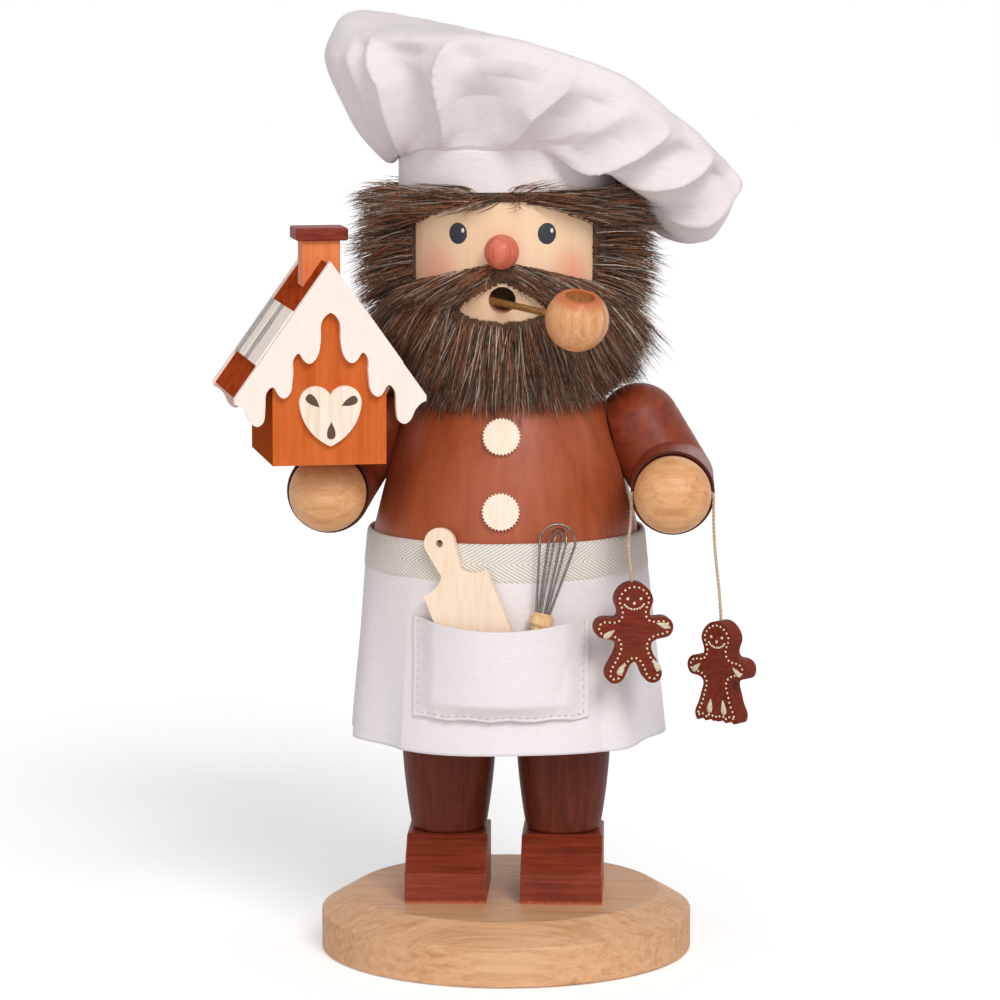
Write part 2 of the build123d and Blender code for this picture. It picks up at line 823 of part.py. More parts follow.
# Hair: a thick collar of fur round the head with a window for the face
hair_bottom_z = neck_z + hair_bottom_height
beard_top_z = neck_z + beard_top_height
hair_rise = hat_band_z - hair_bottom_z
fur_core_radius = head_radius / 2
hair_outline_shares = ((0.37, 0), (0.86, 0.27), (1, 0.6), (0.88, 0.87), (0.15, 1))
with BuildPart() as hair_fur:
    with BuildSketch(Plane.XZ):
        with BuildLine():
            nape, low, widest, high, crown_edge = [
                (head_radius + reach * hair_reach, hair_bottom_z + rise * hair_rise)
                for reach, rise in hair_outline_shares
            ]
            Line((fur_core_radius, hair_bottom_z), nape)
            ThreePointArc(nape, low, widest)
            ThreePointArc(widest, high, crown_edge)
            Polyline(
                crown_edge,
                (fur_core_radius, hat_band_z),
                (fur_core_radius, hair_bottom_z),
            )
        make_face()
    revolve(axis=Axis.Z)
    add(head_blank.part, mode=Mode.SUBTRACT)
    with BuildSketch(front_plane(0, 0, neck_z)):
        with BuildLine():
            ThreePointArc(
                (-face_half_width, hairline_side_height),
                (0, hairline_centre_height),
                (face_half_width, hairline_side_height),
            )
            Polyline(
                (face_half_width, hairline_side_height),
                (face_half_width, 0),
                (-face_half_width, 0),
                (-face_half_width, hairline_side_height),
            )
        make_face()
    extrude(amount=head_radius + hair_reach + cut_overrun, mode=Mode.SUBTRACT)
    with BuildSketch(Plane.XZ.offset(head_radius + fringe_reach)):
        with Locations((0, neck_z)):
            Rectangle(2 * face_half_width, 2 * head_height)
    extrude(amount=hair_reach, mode=Mode.SUBTRACT)
    with BuildSketch(Plane.XZ.offset(hair_back_split)):
        with Locations((0, beard_top_z)):
            Rectangle(
                4 * head_radius,
                head_height,
                align=(Align.CENTER, Align.MAX),
            )
    extrude(amount=2 * head_radius, mode=Mode.SUBTRACT)
    add(hat_crown.part, mode=Mode.SUBTRACT)
    add(roof_room, mode=Mode.SUBTRACT)
save_piece(hair_fur, "hair_fur")

# Beard: hangs in front of the body, open round the mouth
beard_bottom_z = neck_z - beard_length
with BuildPart() as beard_fur:
    with BuildSketch(Plane.XZ):
        with BuildLine():
            Polyline(
                (head_radius + beard_reach, beard_top_z),
                (fur_core_radius, beard_top_z),
                (fur_core_radius, neck_z + beard_chin_height),
                (beard_chin_radius, neck_z + beard_chin_height),
                (beard_tip_radius - beard_tip_thickness, beard_bottom_z),
                (beard_tip_radius, beard_bottom_z),
            )
            TangentArc(
                (head_radius + beard_reach, beard_top_z),
                (beard_tip_radius, beard_bottom_z),
                tangent=(0, -1),
            )
        make_face()
    revolve(axis=Axis.Z)
    add(head_blank.part, mode=Mode.SUBTRACT)
    with BuildSketch(Plane.XZ.offset(hair_back_split)):
        with Locations((0, neck_z)):
            Rectangle(4 * head_radius, 2 * head_height)
    extrude(amount=-2 * head_radius, mode=Mode.SUBTRACT)
    with BuildSketch(Plane.XZ.offset(arm_radius + soft_gap - shoulder_y)):
        with Locations((0, shoulder_z + arm_radius + soft_gap)):
            Rectangle(
                4 * head_radius,
                head_height,
                align=(Align.CENTER, Align.MAX),
            )
    extrude(amount=-2 * head_radius, mode=Mode.SUBTRACT)
    with BuildSketch(front_plane(0, 0, beard_top_z)):
        with BuildLine():
            ThreePointArc((-mouth_half_width, 0), (0, -mouth_sag), (mouth_half_width, 0))
            Line((mouth_half_width, 0), (-mouth_half_width, 0))
        make_face()
    extrude(amount=2 * head_radius, mode=Mode.SUBTRACT)
    with BuildSketch(stem_plane):
        Circle(stem_radius + soft_gap)
    extrude(amount=stem_length, mode=Mode.SUBTRACT)
    add(roof_room, mode=Mode.SUBTRACT)
save_piece(beard_fur, "beard_fur")

# Moustache: a crescent under the nose that lies on the beard's upper edge
with BuildPart() as moustache_fur:
    with BuildSketch(Plane.XY.offset(beard_top_z)):
        Circle(head_radius + moustache_reach)
        Circle(head_radius, mode=Mode.SUBTRACT)
    extrude(amount=moustache_rise)
    with BuildSketch(front_plane(0, 0, beard_top_z)):
        with BuildLine():
            ThreePointArc(
                (-face_half_width, moustache_end_rise),
                (0, moustache_rise),
                (face_half_width, moustache_end_rise),
            )
            Polyline(
                (face_half_width, moustache_end_rise),
                (face_half_width, 0),
                (-face_half_width, 0),
                (-face_half_width, moustache_end_rise),
            )
        make_face()
    extrude(amount=2 * head_radius, mode=Mode.INTERSECT)
    with Locations(nose_point):
        Sphere(nose_radius + soft_gap, mode=Mode.SUBTRACT)
    add(roof_room, mode=Mode.SUBTRACT)
save_piece(moustache_fur, "moustache_fur")

# Apron: a tape band, a flared skirt that is open behind, and a sewn pocket
waistband_z = seat_z + waistband_rise
waistband_top_z = waistband_z + waistband_height
skirt_top_radius = torso_radius_at(waistband_z) + waistband_gap + skirt_cloth
skirt_slope = atan2(skirt_flare, skirt_length)


def skirt_radius_at(z):
    """Outer radius of the skirt's plain front at height z."""
    return skirt_top_radius + skirt_flare * (waistband_z - z) / skirt_length


with BuildPart() as apron_waistband:
    with BuildSketch(Plane.XZ):
        with BuildLine():
            lower_inner = torso_radius_at(waistband_z) + waistband_gap
            upper_inner = torso_radius_at(waistband_top_z) + waistband_gap
            Polyline(
                (lower_inner, waistband_z),
                (lower_inner + waistband_cloth, waistband_z),
                (upper_inner + waistband_cloth, waistband_top_z),
                (upper_inner, waistband_top_z),
                close=True,
            )
        make_face()
    revolve(axis=Axis.Z)
save_piece(apron_waistband, "apron_waistband")


def skirt_arc(radius, fold, start, end):
    """One arc of the skirt's plan, from angle to angle round from the front."""

    def plan_point(angle, reach):
        return (reach * sin(radians(angle)), -reach * cos(radians(angle)))

    middle = (start + end) / 2
    return ThreePointArc(
        plan_point(start, radius),
        plan_point(middle, radius + fold),
        plan_point(end, radius),
    )


skirt_fold_angle = (skirt_back_angle - skirt_front_angle) / skirt_side_folds
skirt_angles = (
    [-skirt_back_angle + step * skirt_fold_angle for step in range(skirt_side_folds + 1)]
    + [skirt_front_angle + step * skirt_fold_angle for step in range(skirt_side_folds + 1)]
)


def skirt_section(z, radius, fold):
    """The skirt's plan at one height: folds out and in by turns at the sides, plain in front."""
    with BuildSketch(Plane.XY.offset(z)) as section:
        with BuildLine():
            outer = []
            inner = []
            for step, (start, end) in enumerate(zip(skirt_angles, skirt_angles[1:])):
                plain = abs(start + end) < skirt_fold_angle
                depth = 0 if plain else fold * (-1) ** step
                outer.append(skirt_arc(radius, depth, start, end))
                inner.append(skirt_arc(radius - skirt_cloth, depth, start, end))
            Line(outer[0] @ 0, inner[0] @ 0)
            Line(outer[-1] @ 1, inner[-1] @ 1)
        make_face()
    return section.sketch


with BuildPart() as apron_skirt:
    add(skirt_section(waistband_z, skirt_top_radius, skirt_top_fold))
    add(skirt_section(waistband_z - skirt_length, skirt_top_radius + skirt_flare, skirt_fold))
    loft(ruled=True)
save_piece(apron_skirt, "apron_skirt")


def pocket_section(z, room, inset):
    """The pocket's plan at one height, from inside the skirt's front out to its cloth."""
    radius = skirt_radius_at(z)
    half_width = pocket_half_width - inset
    edge_y = -sqrt(radius**2 - pocket_half_width**2)
    front_y = edge_y - pocket_edge_rise + inset
    lean_x = half_width - pocket_edge_lean
    with BuildSketch(Plane.XY.offset(z)) as section:
        with BuildLine():
            Line((-half_width, edge_y + skirt_cloth), (-lean_x, front_y))
            ThreePointArc((-lean_x, front_y), (0, inset - radius - room), (lean_x, front_y))
            Polyline(
                (lean_x, front_y),
                (half_width, edge_y + skirt_cloth),
                (-half_width, edge_y + skirt_cloth),
            )
        make_face()
    return section.sketch


pocket_top_z = waistband_z - pocket_drop
pocket_bottom_z = pocket_top_z - pocket_height
with BuildPart() as apron_pocket:
    add(pocket_section(pocket_bottom_z, pocket_low_room, 0))
    add(pocket_section(pocket_top_z, pocket_top_room, 0))
    loft(ruled=True)
    add(pocket_section(pocket_bottom_z + pocket_cloth, pocket_low_room, pocket_cloth))
    add(pocket_section(pocket_top_z + pocket_cloth, pocket_top_room, pocket_cloth))
    loft(ruled=True, mode=Mode.SUBTRACT)
    with BuildSketch(Plane.XZ):
        with BuildLine():
            cone_top_z = waistband_z
            cone_bottom_z = waistband_z - skirt_length
            Polyline(
                (0, cone_bottom_z),
                (skirt_radius_at(cone_bottom_z), cone_bottom_z),
                (skirt_radius_at(cone_top_z), cone_top_z),
                (0, cone_top_z),
                close=True,
            )
        make_face()
    revolve(axis=Axis.Z, mode=Mode.SUBTRACT)
    with BuildSketch(front_plane(0, 0, pocket_top_z)):
        with BuildLine():
            mouth_edge = pocket_half_width + cut_overrun
            ThreePointArc((-mouth_edge, 0), (0, -pocket_mouth_sag), (mouth_edge, 0))
            Polyline(
                (mouth_edge, 0),
                (mouth_edge, cut_overrun),
                (-mouth_edge, cut_overrun),
                (-mouth_edge, 0),
            )
        make_face()
    extrude(amount=2 * skirt_top_radius, mode=Mode.SUBTRACT)
save_piece(apron_pocket, "apron_pocket")


def apron_plane(angle, drop, lift, shift, lean):
    """A plane over the skirt's front: x round the skirt, y up it, leaning to the left."""
    turn = radians(angle)
    outwards = Vector(sin(turn), -cos(turn), 0)
    along = Vector(cos(turn), sin(turn), 0)
    normal = outwards * cos(skirt_slope) + Vector(0, 0, sin(skirt_slope))
    z = waistband_z - drop
    return Plane(
        origin=outwards * skirt_radius_at(z) + Vector(0, 0, z) + normal * lift + along * shift,
        x_dir=along * cos(radians(lean)) + normal.cross(along) * sin(radians(lean)),
        z_dir=normal,
    )


# Cutting board with hollow shoulders and a round-ended handle
board_lift = soft_gap + waistband_cloth - skirt_cloth
board_plane = apron_plane(board_angle, board_drop, board_lift, board_shift, board_lean)
board_neck_height = board_length + board_shoulder_height
board_sag_height = board_length + board_shoulder_height / 2 - board_shoulder_sag
board_cap_height = board_neck_height + board_handle_length - board_handle_width / 2
board_top_height = board_neck_height + board_handle_length
with BuildPart() as cutting_board:
    with BuildSketch(board_plane):
        with BuildLine():
            Polyline(
                (-board_width / 2, board_length),
                (-board_width / 2, 0),
                (board_width / 2, 0),
                (board_width / 2, board_length),
            )
            for side in (-1, 1):
                ThreePointArc(
                    (side * board_width / 2, board_length),
                    (side * (board_width + board_neck_width) / 4, board_sag_height),
                    (side * board_neck_width / 2, board_neck_height),
                )
                Line(
                    (side * board_neck_width / 2, board_neck_height),
                    (side * board_handle_width / 2, board_cap_height),
                )
            ThreePointArc(
                (board_handle_width / 2, board_cap_height),
                (0, board_top_height),
                (-board_handle_width / 2, board_cap_height),
            )
        make_face()
        with Locations((0, board_cap_height)):
            Circle(board_hole_radius, mode=Mode.SUBTRACT)
    extrude(amount=board_thickness)
save_piece(cutting_board, "cutting_board")

# Whisk: wire loops nested one inside the next, pressed into a turned handle
whisk_lift = whisk_collar_radius + soft_gap
whisk_plane = apron_plane(whisk_angle, whisk_drop, whisk_lift, 0, -whisk_lean)
wire_foot_point = whisk_plane.origin + whisk_plane.y_dir * (whisk_handle_length - wire_embed)
with BuildPart() as whisk_wires:
    for loop in range(wire_loop_count):
        loop_radius = wire_loop_radius - loop * wire_nest
        centre_height = wire_height + wire_embed - wire_loop_radius
        foot_reach = sqrt(wire_foot_radius**2 + centre_height**2)
        side_length = sqrt(foot_reach**2 - loop_radius**2)
        side_angle = atan2(centre_height, wire_foot_radius) + asin(loop_radius / foot_reach)
        side_x = wire_foot_radius - side_length * cos(side_angle)
        side_y = side_length * sin(side_angle)
        loop_top = centre_height + loop_radius
        turn = pi * loop / wire_loop_count
        loop_across = whisk_plane.x_dir * cos(turn) + whisk_plane.z_dir * sin(turn)
        loop_plane = Plane(
            origin=wire_foot_point,
            x_dir=loop_across,
            z_dir=loop_across.cross(whisk_plane.y_dir),
        )
        with BuildLine(loop_plane) as loop_line:
            Line((-wire_foot_radius, 0), (-side_x, side_y))
            ThreePointArc((-side_x, side_y), (0, loop_top), (side_x, side_y))
            Line((side_x, side_y), (wire_foot_radius, 0))
        wire_start = loop_line.wire()
        with BuildSketch(Plane(origin=wire_start @ 0, z_dir=wire_start % 0)):
            Circle(wire_radius)
        sweep()
save_piece(whisk_wires, "whisk_wires")

with BuildPart() as whisk_handle:
    with BuildSketch(whisk_plane):
        with BuildLine():
            collar_foot = whisk_handle_length - whisk_collar_height
            Polyline(
                (whisk_grip_radius, whisk_end_round),
                (whisk_grip_radius, collar_foot),
                (whisk_collar_radius, collar_foot + whisk_end_round),
                (whisk_collar_radius, whisk_handle_length - whisk_end_round),
                (whisk_grip_radius, whisk_handle_length),
                (0, whisk_handle_length),
                (0, 0),
                (whisk_grip_radius - whisk_end_round, 0),
                (whisk_grip_radius, whisk_end_round),
            )
        make_face()
    revolve(axis=Axis(whisk_plane.origin, whisk_plane.y_dir))
    add(whisk_wires.part, mode=Mode.SUBTRACT)
save_piece(whisk_handle, "whisk_handle")

# House body, pegged to the hand
with BuildPart() as house_body:
    with BuildSketch(house_face):
        with BuildLine():
            Polyline(
                (-house_width / 2, 0),
                (house_width / 2, 0),
                (house_width / 2, house_wall_height),
                (0, gable_peak),
                (-house_width / 2, house_wall_height),
                close=True,
            )
        make_face()
    extrude(amount=-house_depth)
    with Locations(house_floor):
        Cylinder(
            house_peg_radius,
            house_peg_depth + dowel_end_gap,
            align=(Align.CENTER, Align.CENTER, Align.MIN),
            mode=Mode.SUBTRACT,
        )
save_piece(house_body, "house_body")

with BuildPart() as house_peg:
    with Locations(house_floor):
        Cylinder(house_peg_radius, 2 * house_peg_depth)
save_piece(house_peg, "house_peg")

# Roof boards, icing boards before and behind them, and the icing panels on the slopes
slope_run = roof_slope_length + roof_board * tan(pitch)
# Lower edge of one icing board from the middle outwards, as shares of its reach and its peak
icing_edge_shares = (
    (0, 0.751),
    (0.059, 0.732),
    (0.093, 0.705),
    (0.102, 0.641),
    (0.112, 0.585),
    (0.145, 0.534),
    (0.219, 0.504),
    (0.284, 0.523),
    (0.336, 0.554),
    (0.379, 0.535),
    (0.39, 0.474),
    (0.4, 0.415),
    (0.431, 0.356),
    (0.488, 0.337),
    (0.546, 0.355),
    (0.605, 0.392),
    (0.66, 0.372),
    (0.68, 0.32),
    (0.687, 0.256),
    (0.71, 0.216),
    (0.767, 0.201),
    (0.83, 0.218),
    (0.876, 0.262),
    (0.926, 0.293),
    (1, icing_end_height / icing_peak - icing_end_cut / icing_peak),
)
panel_foot_share = 0.76
panel_head_share = 0.36
groove_middle_shares = (0.465, 0.89)
groove_width_share = 0.22
# Slits of one groove: place across it, place down the panel, turn in spreads
slit_shares = (
    (-0.24, -0.33, 1),
    (0.24, -0.33, -1),
    (0, 0, 0),
    (-0.24, 0.33, -1),
    (0.24, 0.33, 1),
)

for side, side_name in ((-1, "left"), (1, "right")):
    slope_down = Vector(side * cos(pitch), -sin(pitch))
    slope_out = Vector(side * sin(pitch), cos(pitch))
    board_foot = Vector(0, gable_peak) + slope_down * roof_slope_length

    with BuildPart() as house_roof:
        with BuildSketch(house_face):
            with BuildLine():
                Polyline(
                    (0, gable_peak),
                    (0, ridge_height),
                    board_foot + slope_out * roof_board,
                    board_foot,
                    close=True,
                )
            make_face()
        extrude(amount=-house_depth)
    save_piece(house_roof, f"house_roof_{side_name}")

    for board_plane_z, place_name in ((0, "front"), (-house_depth - icing_board, "rear")):
        with BuildPart() as icing:
            with BuildSketch(house_face.offset(board_plane_z)):
                with BuildLine():
                    edge = [
                        Vector(side * x_share * icing_reach, y_share * icing_peak)
                        for x_share, y_share in icing_edge_shares
                    ]
                    Polyline(
                        edge[0],
                        (0, icing_peak),
                        (side * icing_reach, icing_end_height),
                        edge[-1],
                    )
                    Spline(*edge)
                make_face()
            extrude(amount=icing_board)
        save_piece(icing, f"icing_{place_name}_{side_name}")

    slope_x = house_face.x_dir * slope_down.X + house_face.y_dir * slope_down.Y
    slope_z = house_face.x_dir * slope_out.X + house_face.y_dir * slope_out.Y
    slope_plane = Plane(
        origin=house_face.origin + house_face.y_dir * ridge_height,
        x_dir=slope_x,
        z_dir=slope_z,
    )
    panel_length = (panel_foot_share - panel_head_share) * slope_run
    panel_x = (panel_foot_share + panel_head_share) / 2 * slope_run
    with BuildPart() as roof_panel:
        with BuildSketch(slope_plane):
            with Locations((panel_x, side * house_depth / 2)):
                Rectangle(panel_length, house_depth)
        extrude(amount=panel_thickness)
        for groove_share in groove_middle_shares:
            groove_y = side * groove_share * house_depth
            groove_width = groove_width_share * house_depth
            with BuildSketch(slope_plane.offset(panel_thickness)):
                with Locations((panel_x, groove_y)):
                    Rectangle(panel_length, groove_width)
            extrude(amount=-panel_groove_depth, mode=Mode.SUBTRACT)
            with BuildSketch(slope_plane.offset(panel_thickness - panel_groove_depth)):
                for across_share, down_share, turn in slit_shares:
                    with Locations(
                        (
                            panel_x + down_share * panel_length,
                            groove_y + across_share * groove_width,
                        )
                    ):
                        SlotOverall(slit_length, slit_width, rotation=turn * slit_spread)
            extrude(amount=-slit_depth, mode=Mode.SUBTRACT)
    save_piece(roof_panel, f"roof_panel_{side_name}")

# Chimney, sawn to sit astride the ridge, with a flat cap
chimney_foot_height = ridge_height - chimney_width / 2 * tan(pitch)
with BuildPart() as house_chimney:
    with BuildSketch(house_face.offset(-chimney_setback)):
        with BuildLine():
            Polyline(
                (-chimney_width / 2, chimney_foot_height),
                (0, ridge_height),
                (chimney_width / 2, chimney_foot_height),
                (chimney_width / 2, chimney_top_height),
                (-chimney_width / 2, chimney_top_height),
                close=True,
            )
        make_face()
    extrude(amount=-chimney_depth)
save_piece(house_chimney, "house_chimney")

cap_overhang = (cap_depth - chimney_depth) / 2
with BuildPart() as chimney_cap:
    with BuildSketch(house_face.offset(cap_overhang - chimney_setback)):
        with Locations((0, chimney_top_height)):
            Rectangle(cap_width, cap_thickness, align=(Align.CENTER, Align.MIN))
    extrude(amount=-cap_depth)
    fillet(chimney_cap.edges(), edge_round)
save_piece(chimney_cap, "chimney_cap")

# Heart on the gable with three almonds sunk into it
heart_side_share = 0.67  # height of its widest place
heart_notch_share = 0.85
heart_lobe_share = 0.52  # sideways place of a lobe's top
heart_belly_shares = (0.72, 0.3)  # a place on its lower side
almond_shares = ((-0.56, 0.75, 137), (0.61, 0.73, 24), (0.02, 0.26, -90))
almond_belly_share = 0.12  # from its middle towards its round end
with BuildSketch() as almond:
    with BuildLine():
        for side in (-1, 1):
            Spline(
                (-almond_length / 2, 0),
                (almond_belly_share * almond_length, side * almond_width / 2),
                (almond_length / 2, 0),
                tangents=((almond_length, side * almond_width), (0, -side)),
            )
    make_face()
with BuildPart() as house_heart:
    with BuildSketch(house_face):
        with BuildLine():
            half = heart_width / 2
            foot = Vector(0, heart_foot_height)
            notch = Vector(0, heart_foot_height + heart_notch_share * heart_height)
            for side in (-1, 1):
                widest = Vector(side * half, heart_foot_height + heart_side_share * heart_height)
                ThreePointArc(
                    foot,
                    foot + Vector(
                        side * heart_belly_shares[0] * half,
                        heart_belly_shares[1] * heart_height,
                    ),
                    widest,
                )
                ThreePointArc(
                    widest,
                    foot + Vector(side * heart_lobe_share * half, heart_height),
                    notch,
                )
        make_face()
    extrude(amount=heart_thickness)
    with BuildSketch(house_face.offset(heart_thickness)):
        for x_share, y_share, turn in almond_shares:
            with Locations((x_share * half, heart_foot_height + y_share * heart_height)):
                add(almond.sketch, rotation=turn)
    extrude(amount=-almond_depth, mode=Mode.SUBTRACT)
save_piece(house_heart, "house_heart")

# String over the hand: a quarter bend, the wrap in its groove, a quarter bend
with BuildPart() as string_over_hand:
    with BuildLine() as wrap_line:
        ThreePointArc(string_bend(-1, 90), string_bend(-1, 45), string_bend(-1, 0))
        ThreePointArc(string_exit(-1), wrap_back_point, string_exit(1))
        ThreePointArc(string_bend(1, 0), string_bend(1, 45), string_bend(1, 90))
    wrap_wire = wrap_line.wire()
    with BuildSketch(Plane(origin=wrap_wire @ 0, z_dir=wrap_wire % 0)):
        Circle(string_radius)
    sweep()
save_piece(string_over_hand, "string_over_hand")

# Gingerbread outlines: right half from the top of the head round to the crotch or hem,
# sideways as shares of the half width and downwards as shares of the height
man_outline_shares = (
    (0, 0),
    (0.34, 0.055),
    (0.48, 0.19),
    (0.4, 0.29),
    (0.42, 0.335),
    (0.68, 0.345),
    (0.93, 0.375),
    (1, 0.45),
    (0.9, 0.53),
    (0.62, 0.56),
    (0.45, 0.6),
    (0.48, 0.7),
    (0.66, 0.83),
    (0.71, 0.92),
    (0.58, 0.99),
    (0.36, 0.985),
    (0.2, 0.9),
    (0.09, 0.81),
    (0, 0.785),
)
woman_outline_shares = (
    (0, 0),
    (0.36, 0.055),
    (0.52, 0.19),
    (0.43, 0.29),
    (0.46, 0.335),
    (0.72, 0.355),
    (0.95, 0.4),
    (1, 0.475),
    (0.88, 0.545),
    (0.62, 0.56),
    (0.46, 0.6),
    (0.5, 0.7),
    (0.62, 0.83),
    (0.72, 0.95),
    (0.62, 1),
    (0.48, 0.975),
    (0.34, 1),
    (0.2, 0.975),
    (0.08, 0.995),
    (0, 0.99),
)

# Figures on their strings
hung_figures = (
    ("man", -1, string_man_sway, string_man_drop, man_outline_shares, man_half_width, man_yaw),
    (
        "woman",
        1,
        string_woman_sway,
        string_woman_drop,
        woman_outline_shares,
        woman_half_width,
        woman_yaw,
    ),
)
for name, side, sways, drops, outline_shares, half_width, yaw in hung_figures:
    string_top = string_bend(side, 90) - Vector(0, 0, string_hinge_gap)
    string_points = [string_top + Vector(sway, 0, -drop) for sway, drop in zip(sways, drops)]
    string_runs = [end - start for start, end in zip(string_points, string_points[1:])]
    corner_radii = [
        0.45 * min(above.length, below.length) / tan(radians(above.get_angle(below) / 2))
        for above, below in zip(string_runs, string_runs[1:])
    ]
    print(name, "string radii", [round(radius, 1) for radius in corner_radii])
    with BuildPart() as hung_string:
        with BuildLine() as string_line:
            FilletPolyline(*string_points, radius=corner_radii)
        string_wire = string_line.wire()
        with BuildSketch(Plane(origin=string_wire @ 0, z_dir=string_wire % 0)):
            Circle(string_radius)
        sweep()
    print(name, "string length", round(string_wire.length, 1))
    save_piece(hung_string, f"string_{name}")

    head_top = string_points[-1] + Vector(0, 0, string_hole_depth)
    figure_plane = Plane(
        origin=head_top,
        x_dir=(cos(radians(yaw)), sin(radians(yaw)), 0),
        z_dir=(sin(radians(yaw)), -cos(radians(yaw)), 0),
    )
    right_half = [(x * half_width, -y * ginger_height) for x, y in outline_shares]
    left_half = [(-x, y) for x, y in right_half[-2:0:-1]]
    with BuildPart() as gingerbread:
        with BuildSketch(figure_plane.offset(-ginger_thickness / 2)):
            with BuildLine():
                Spline(*right_half, *left_half, periodic=True)
            make_face()
        extrude(amount=ginger_thickness)
        with Locations(head_top):
            Cylinder(
                string_radius + string_hole_gap,
                2 * string_hole_depth,
                mode=Mode.SUBTRACT,
            )
    save_piece(gingerbread, f"gingerbread_{name}")
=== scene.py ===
from math import asin, cos, pi, radians, sin, sqrt, tan

import bpy
import numpy as np
from mathutils import Matrix, Vector


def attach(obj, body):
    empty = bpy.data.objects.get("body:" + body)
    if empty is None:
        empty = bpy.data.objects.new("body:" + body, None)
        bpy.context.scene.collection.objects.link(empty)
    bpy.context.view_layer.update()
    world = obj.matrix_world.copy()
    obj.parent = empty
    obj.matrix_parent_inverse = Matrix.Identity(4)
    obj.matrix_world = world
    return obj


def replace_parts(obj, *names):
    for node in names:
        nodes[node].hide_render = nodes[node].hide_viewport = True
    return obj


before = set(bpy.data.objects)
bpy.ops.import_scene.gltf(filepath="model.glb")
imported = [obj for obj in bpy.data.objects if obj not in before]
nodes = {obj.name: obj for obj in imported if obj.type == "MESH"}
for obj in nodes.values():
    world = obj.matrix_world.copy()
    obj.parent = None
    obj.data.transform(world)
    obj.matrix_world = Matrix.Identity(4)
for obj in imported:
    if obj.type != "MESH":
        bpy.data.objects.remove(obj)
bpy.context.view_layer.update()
MM = 0.001

# ---------------------------------------------------------------- camera
CAMERA_DISTANCE = 1172.6
CAMERA_HEIGHT = 284.1
CAMERA_PITCH = 0.1275
CAMERA_AZIMUTH = radians(2.4)
CAMERA_SIDESTEP = -1.85
LENS = 144.17

right = Vector((cos(CAMERA_AZIMUTH), sin(CAMERA_AZIMUTH), 0))
level = Vector((-sin(CAMERA_AZIMUTH), cos(CAMERA_AZIMUTH), 0))
forward = level * cos(CAMERA_PITCH) + Vector((0, 0, -sin(CAMERA_PITCH)))
up = right.cross(forward)
place = level * -CAMERA_DISTANCE + Vector((0, 0, CAMERA_HEIGHT)) + right * CAMERA_SIDESTEP
camera_data = bpy.data.cameras.new("camera")
camera_data.lens = LENS
camera_data.sensor_width = 36
camera_data.clip_start = 0.05
camera_data.clip_end = 50
camera = bpy.data.objects.new("camera", camera_data)
bpy.context.scene.collection.objects.link(camera)
turn = Matrix((right, up, -forward)).transposed().to_4x4()
camera.matrix_world = Matrix.Translation(place * MM) @ turn
bpy.context.scene.camera = camera


# ---------------------------------------------------------------- materials
def rgb(red, green, blue):
    """A colour given as 8-bit display values, as the linear colour that a shader takes."""
    values = [v / 255 for v in (red, green, blue)]
    return tuple(v / 12.92 if v <= 0.04045 else ((v + 0.055) / 1.055) ** 2.4 for v in values) + (1,)


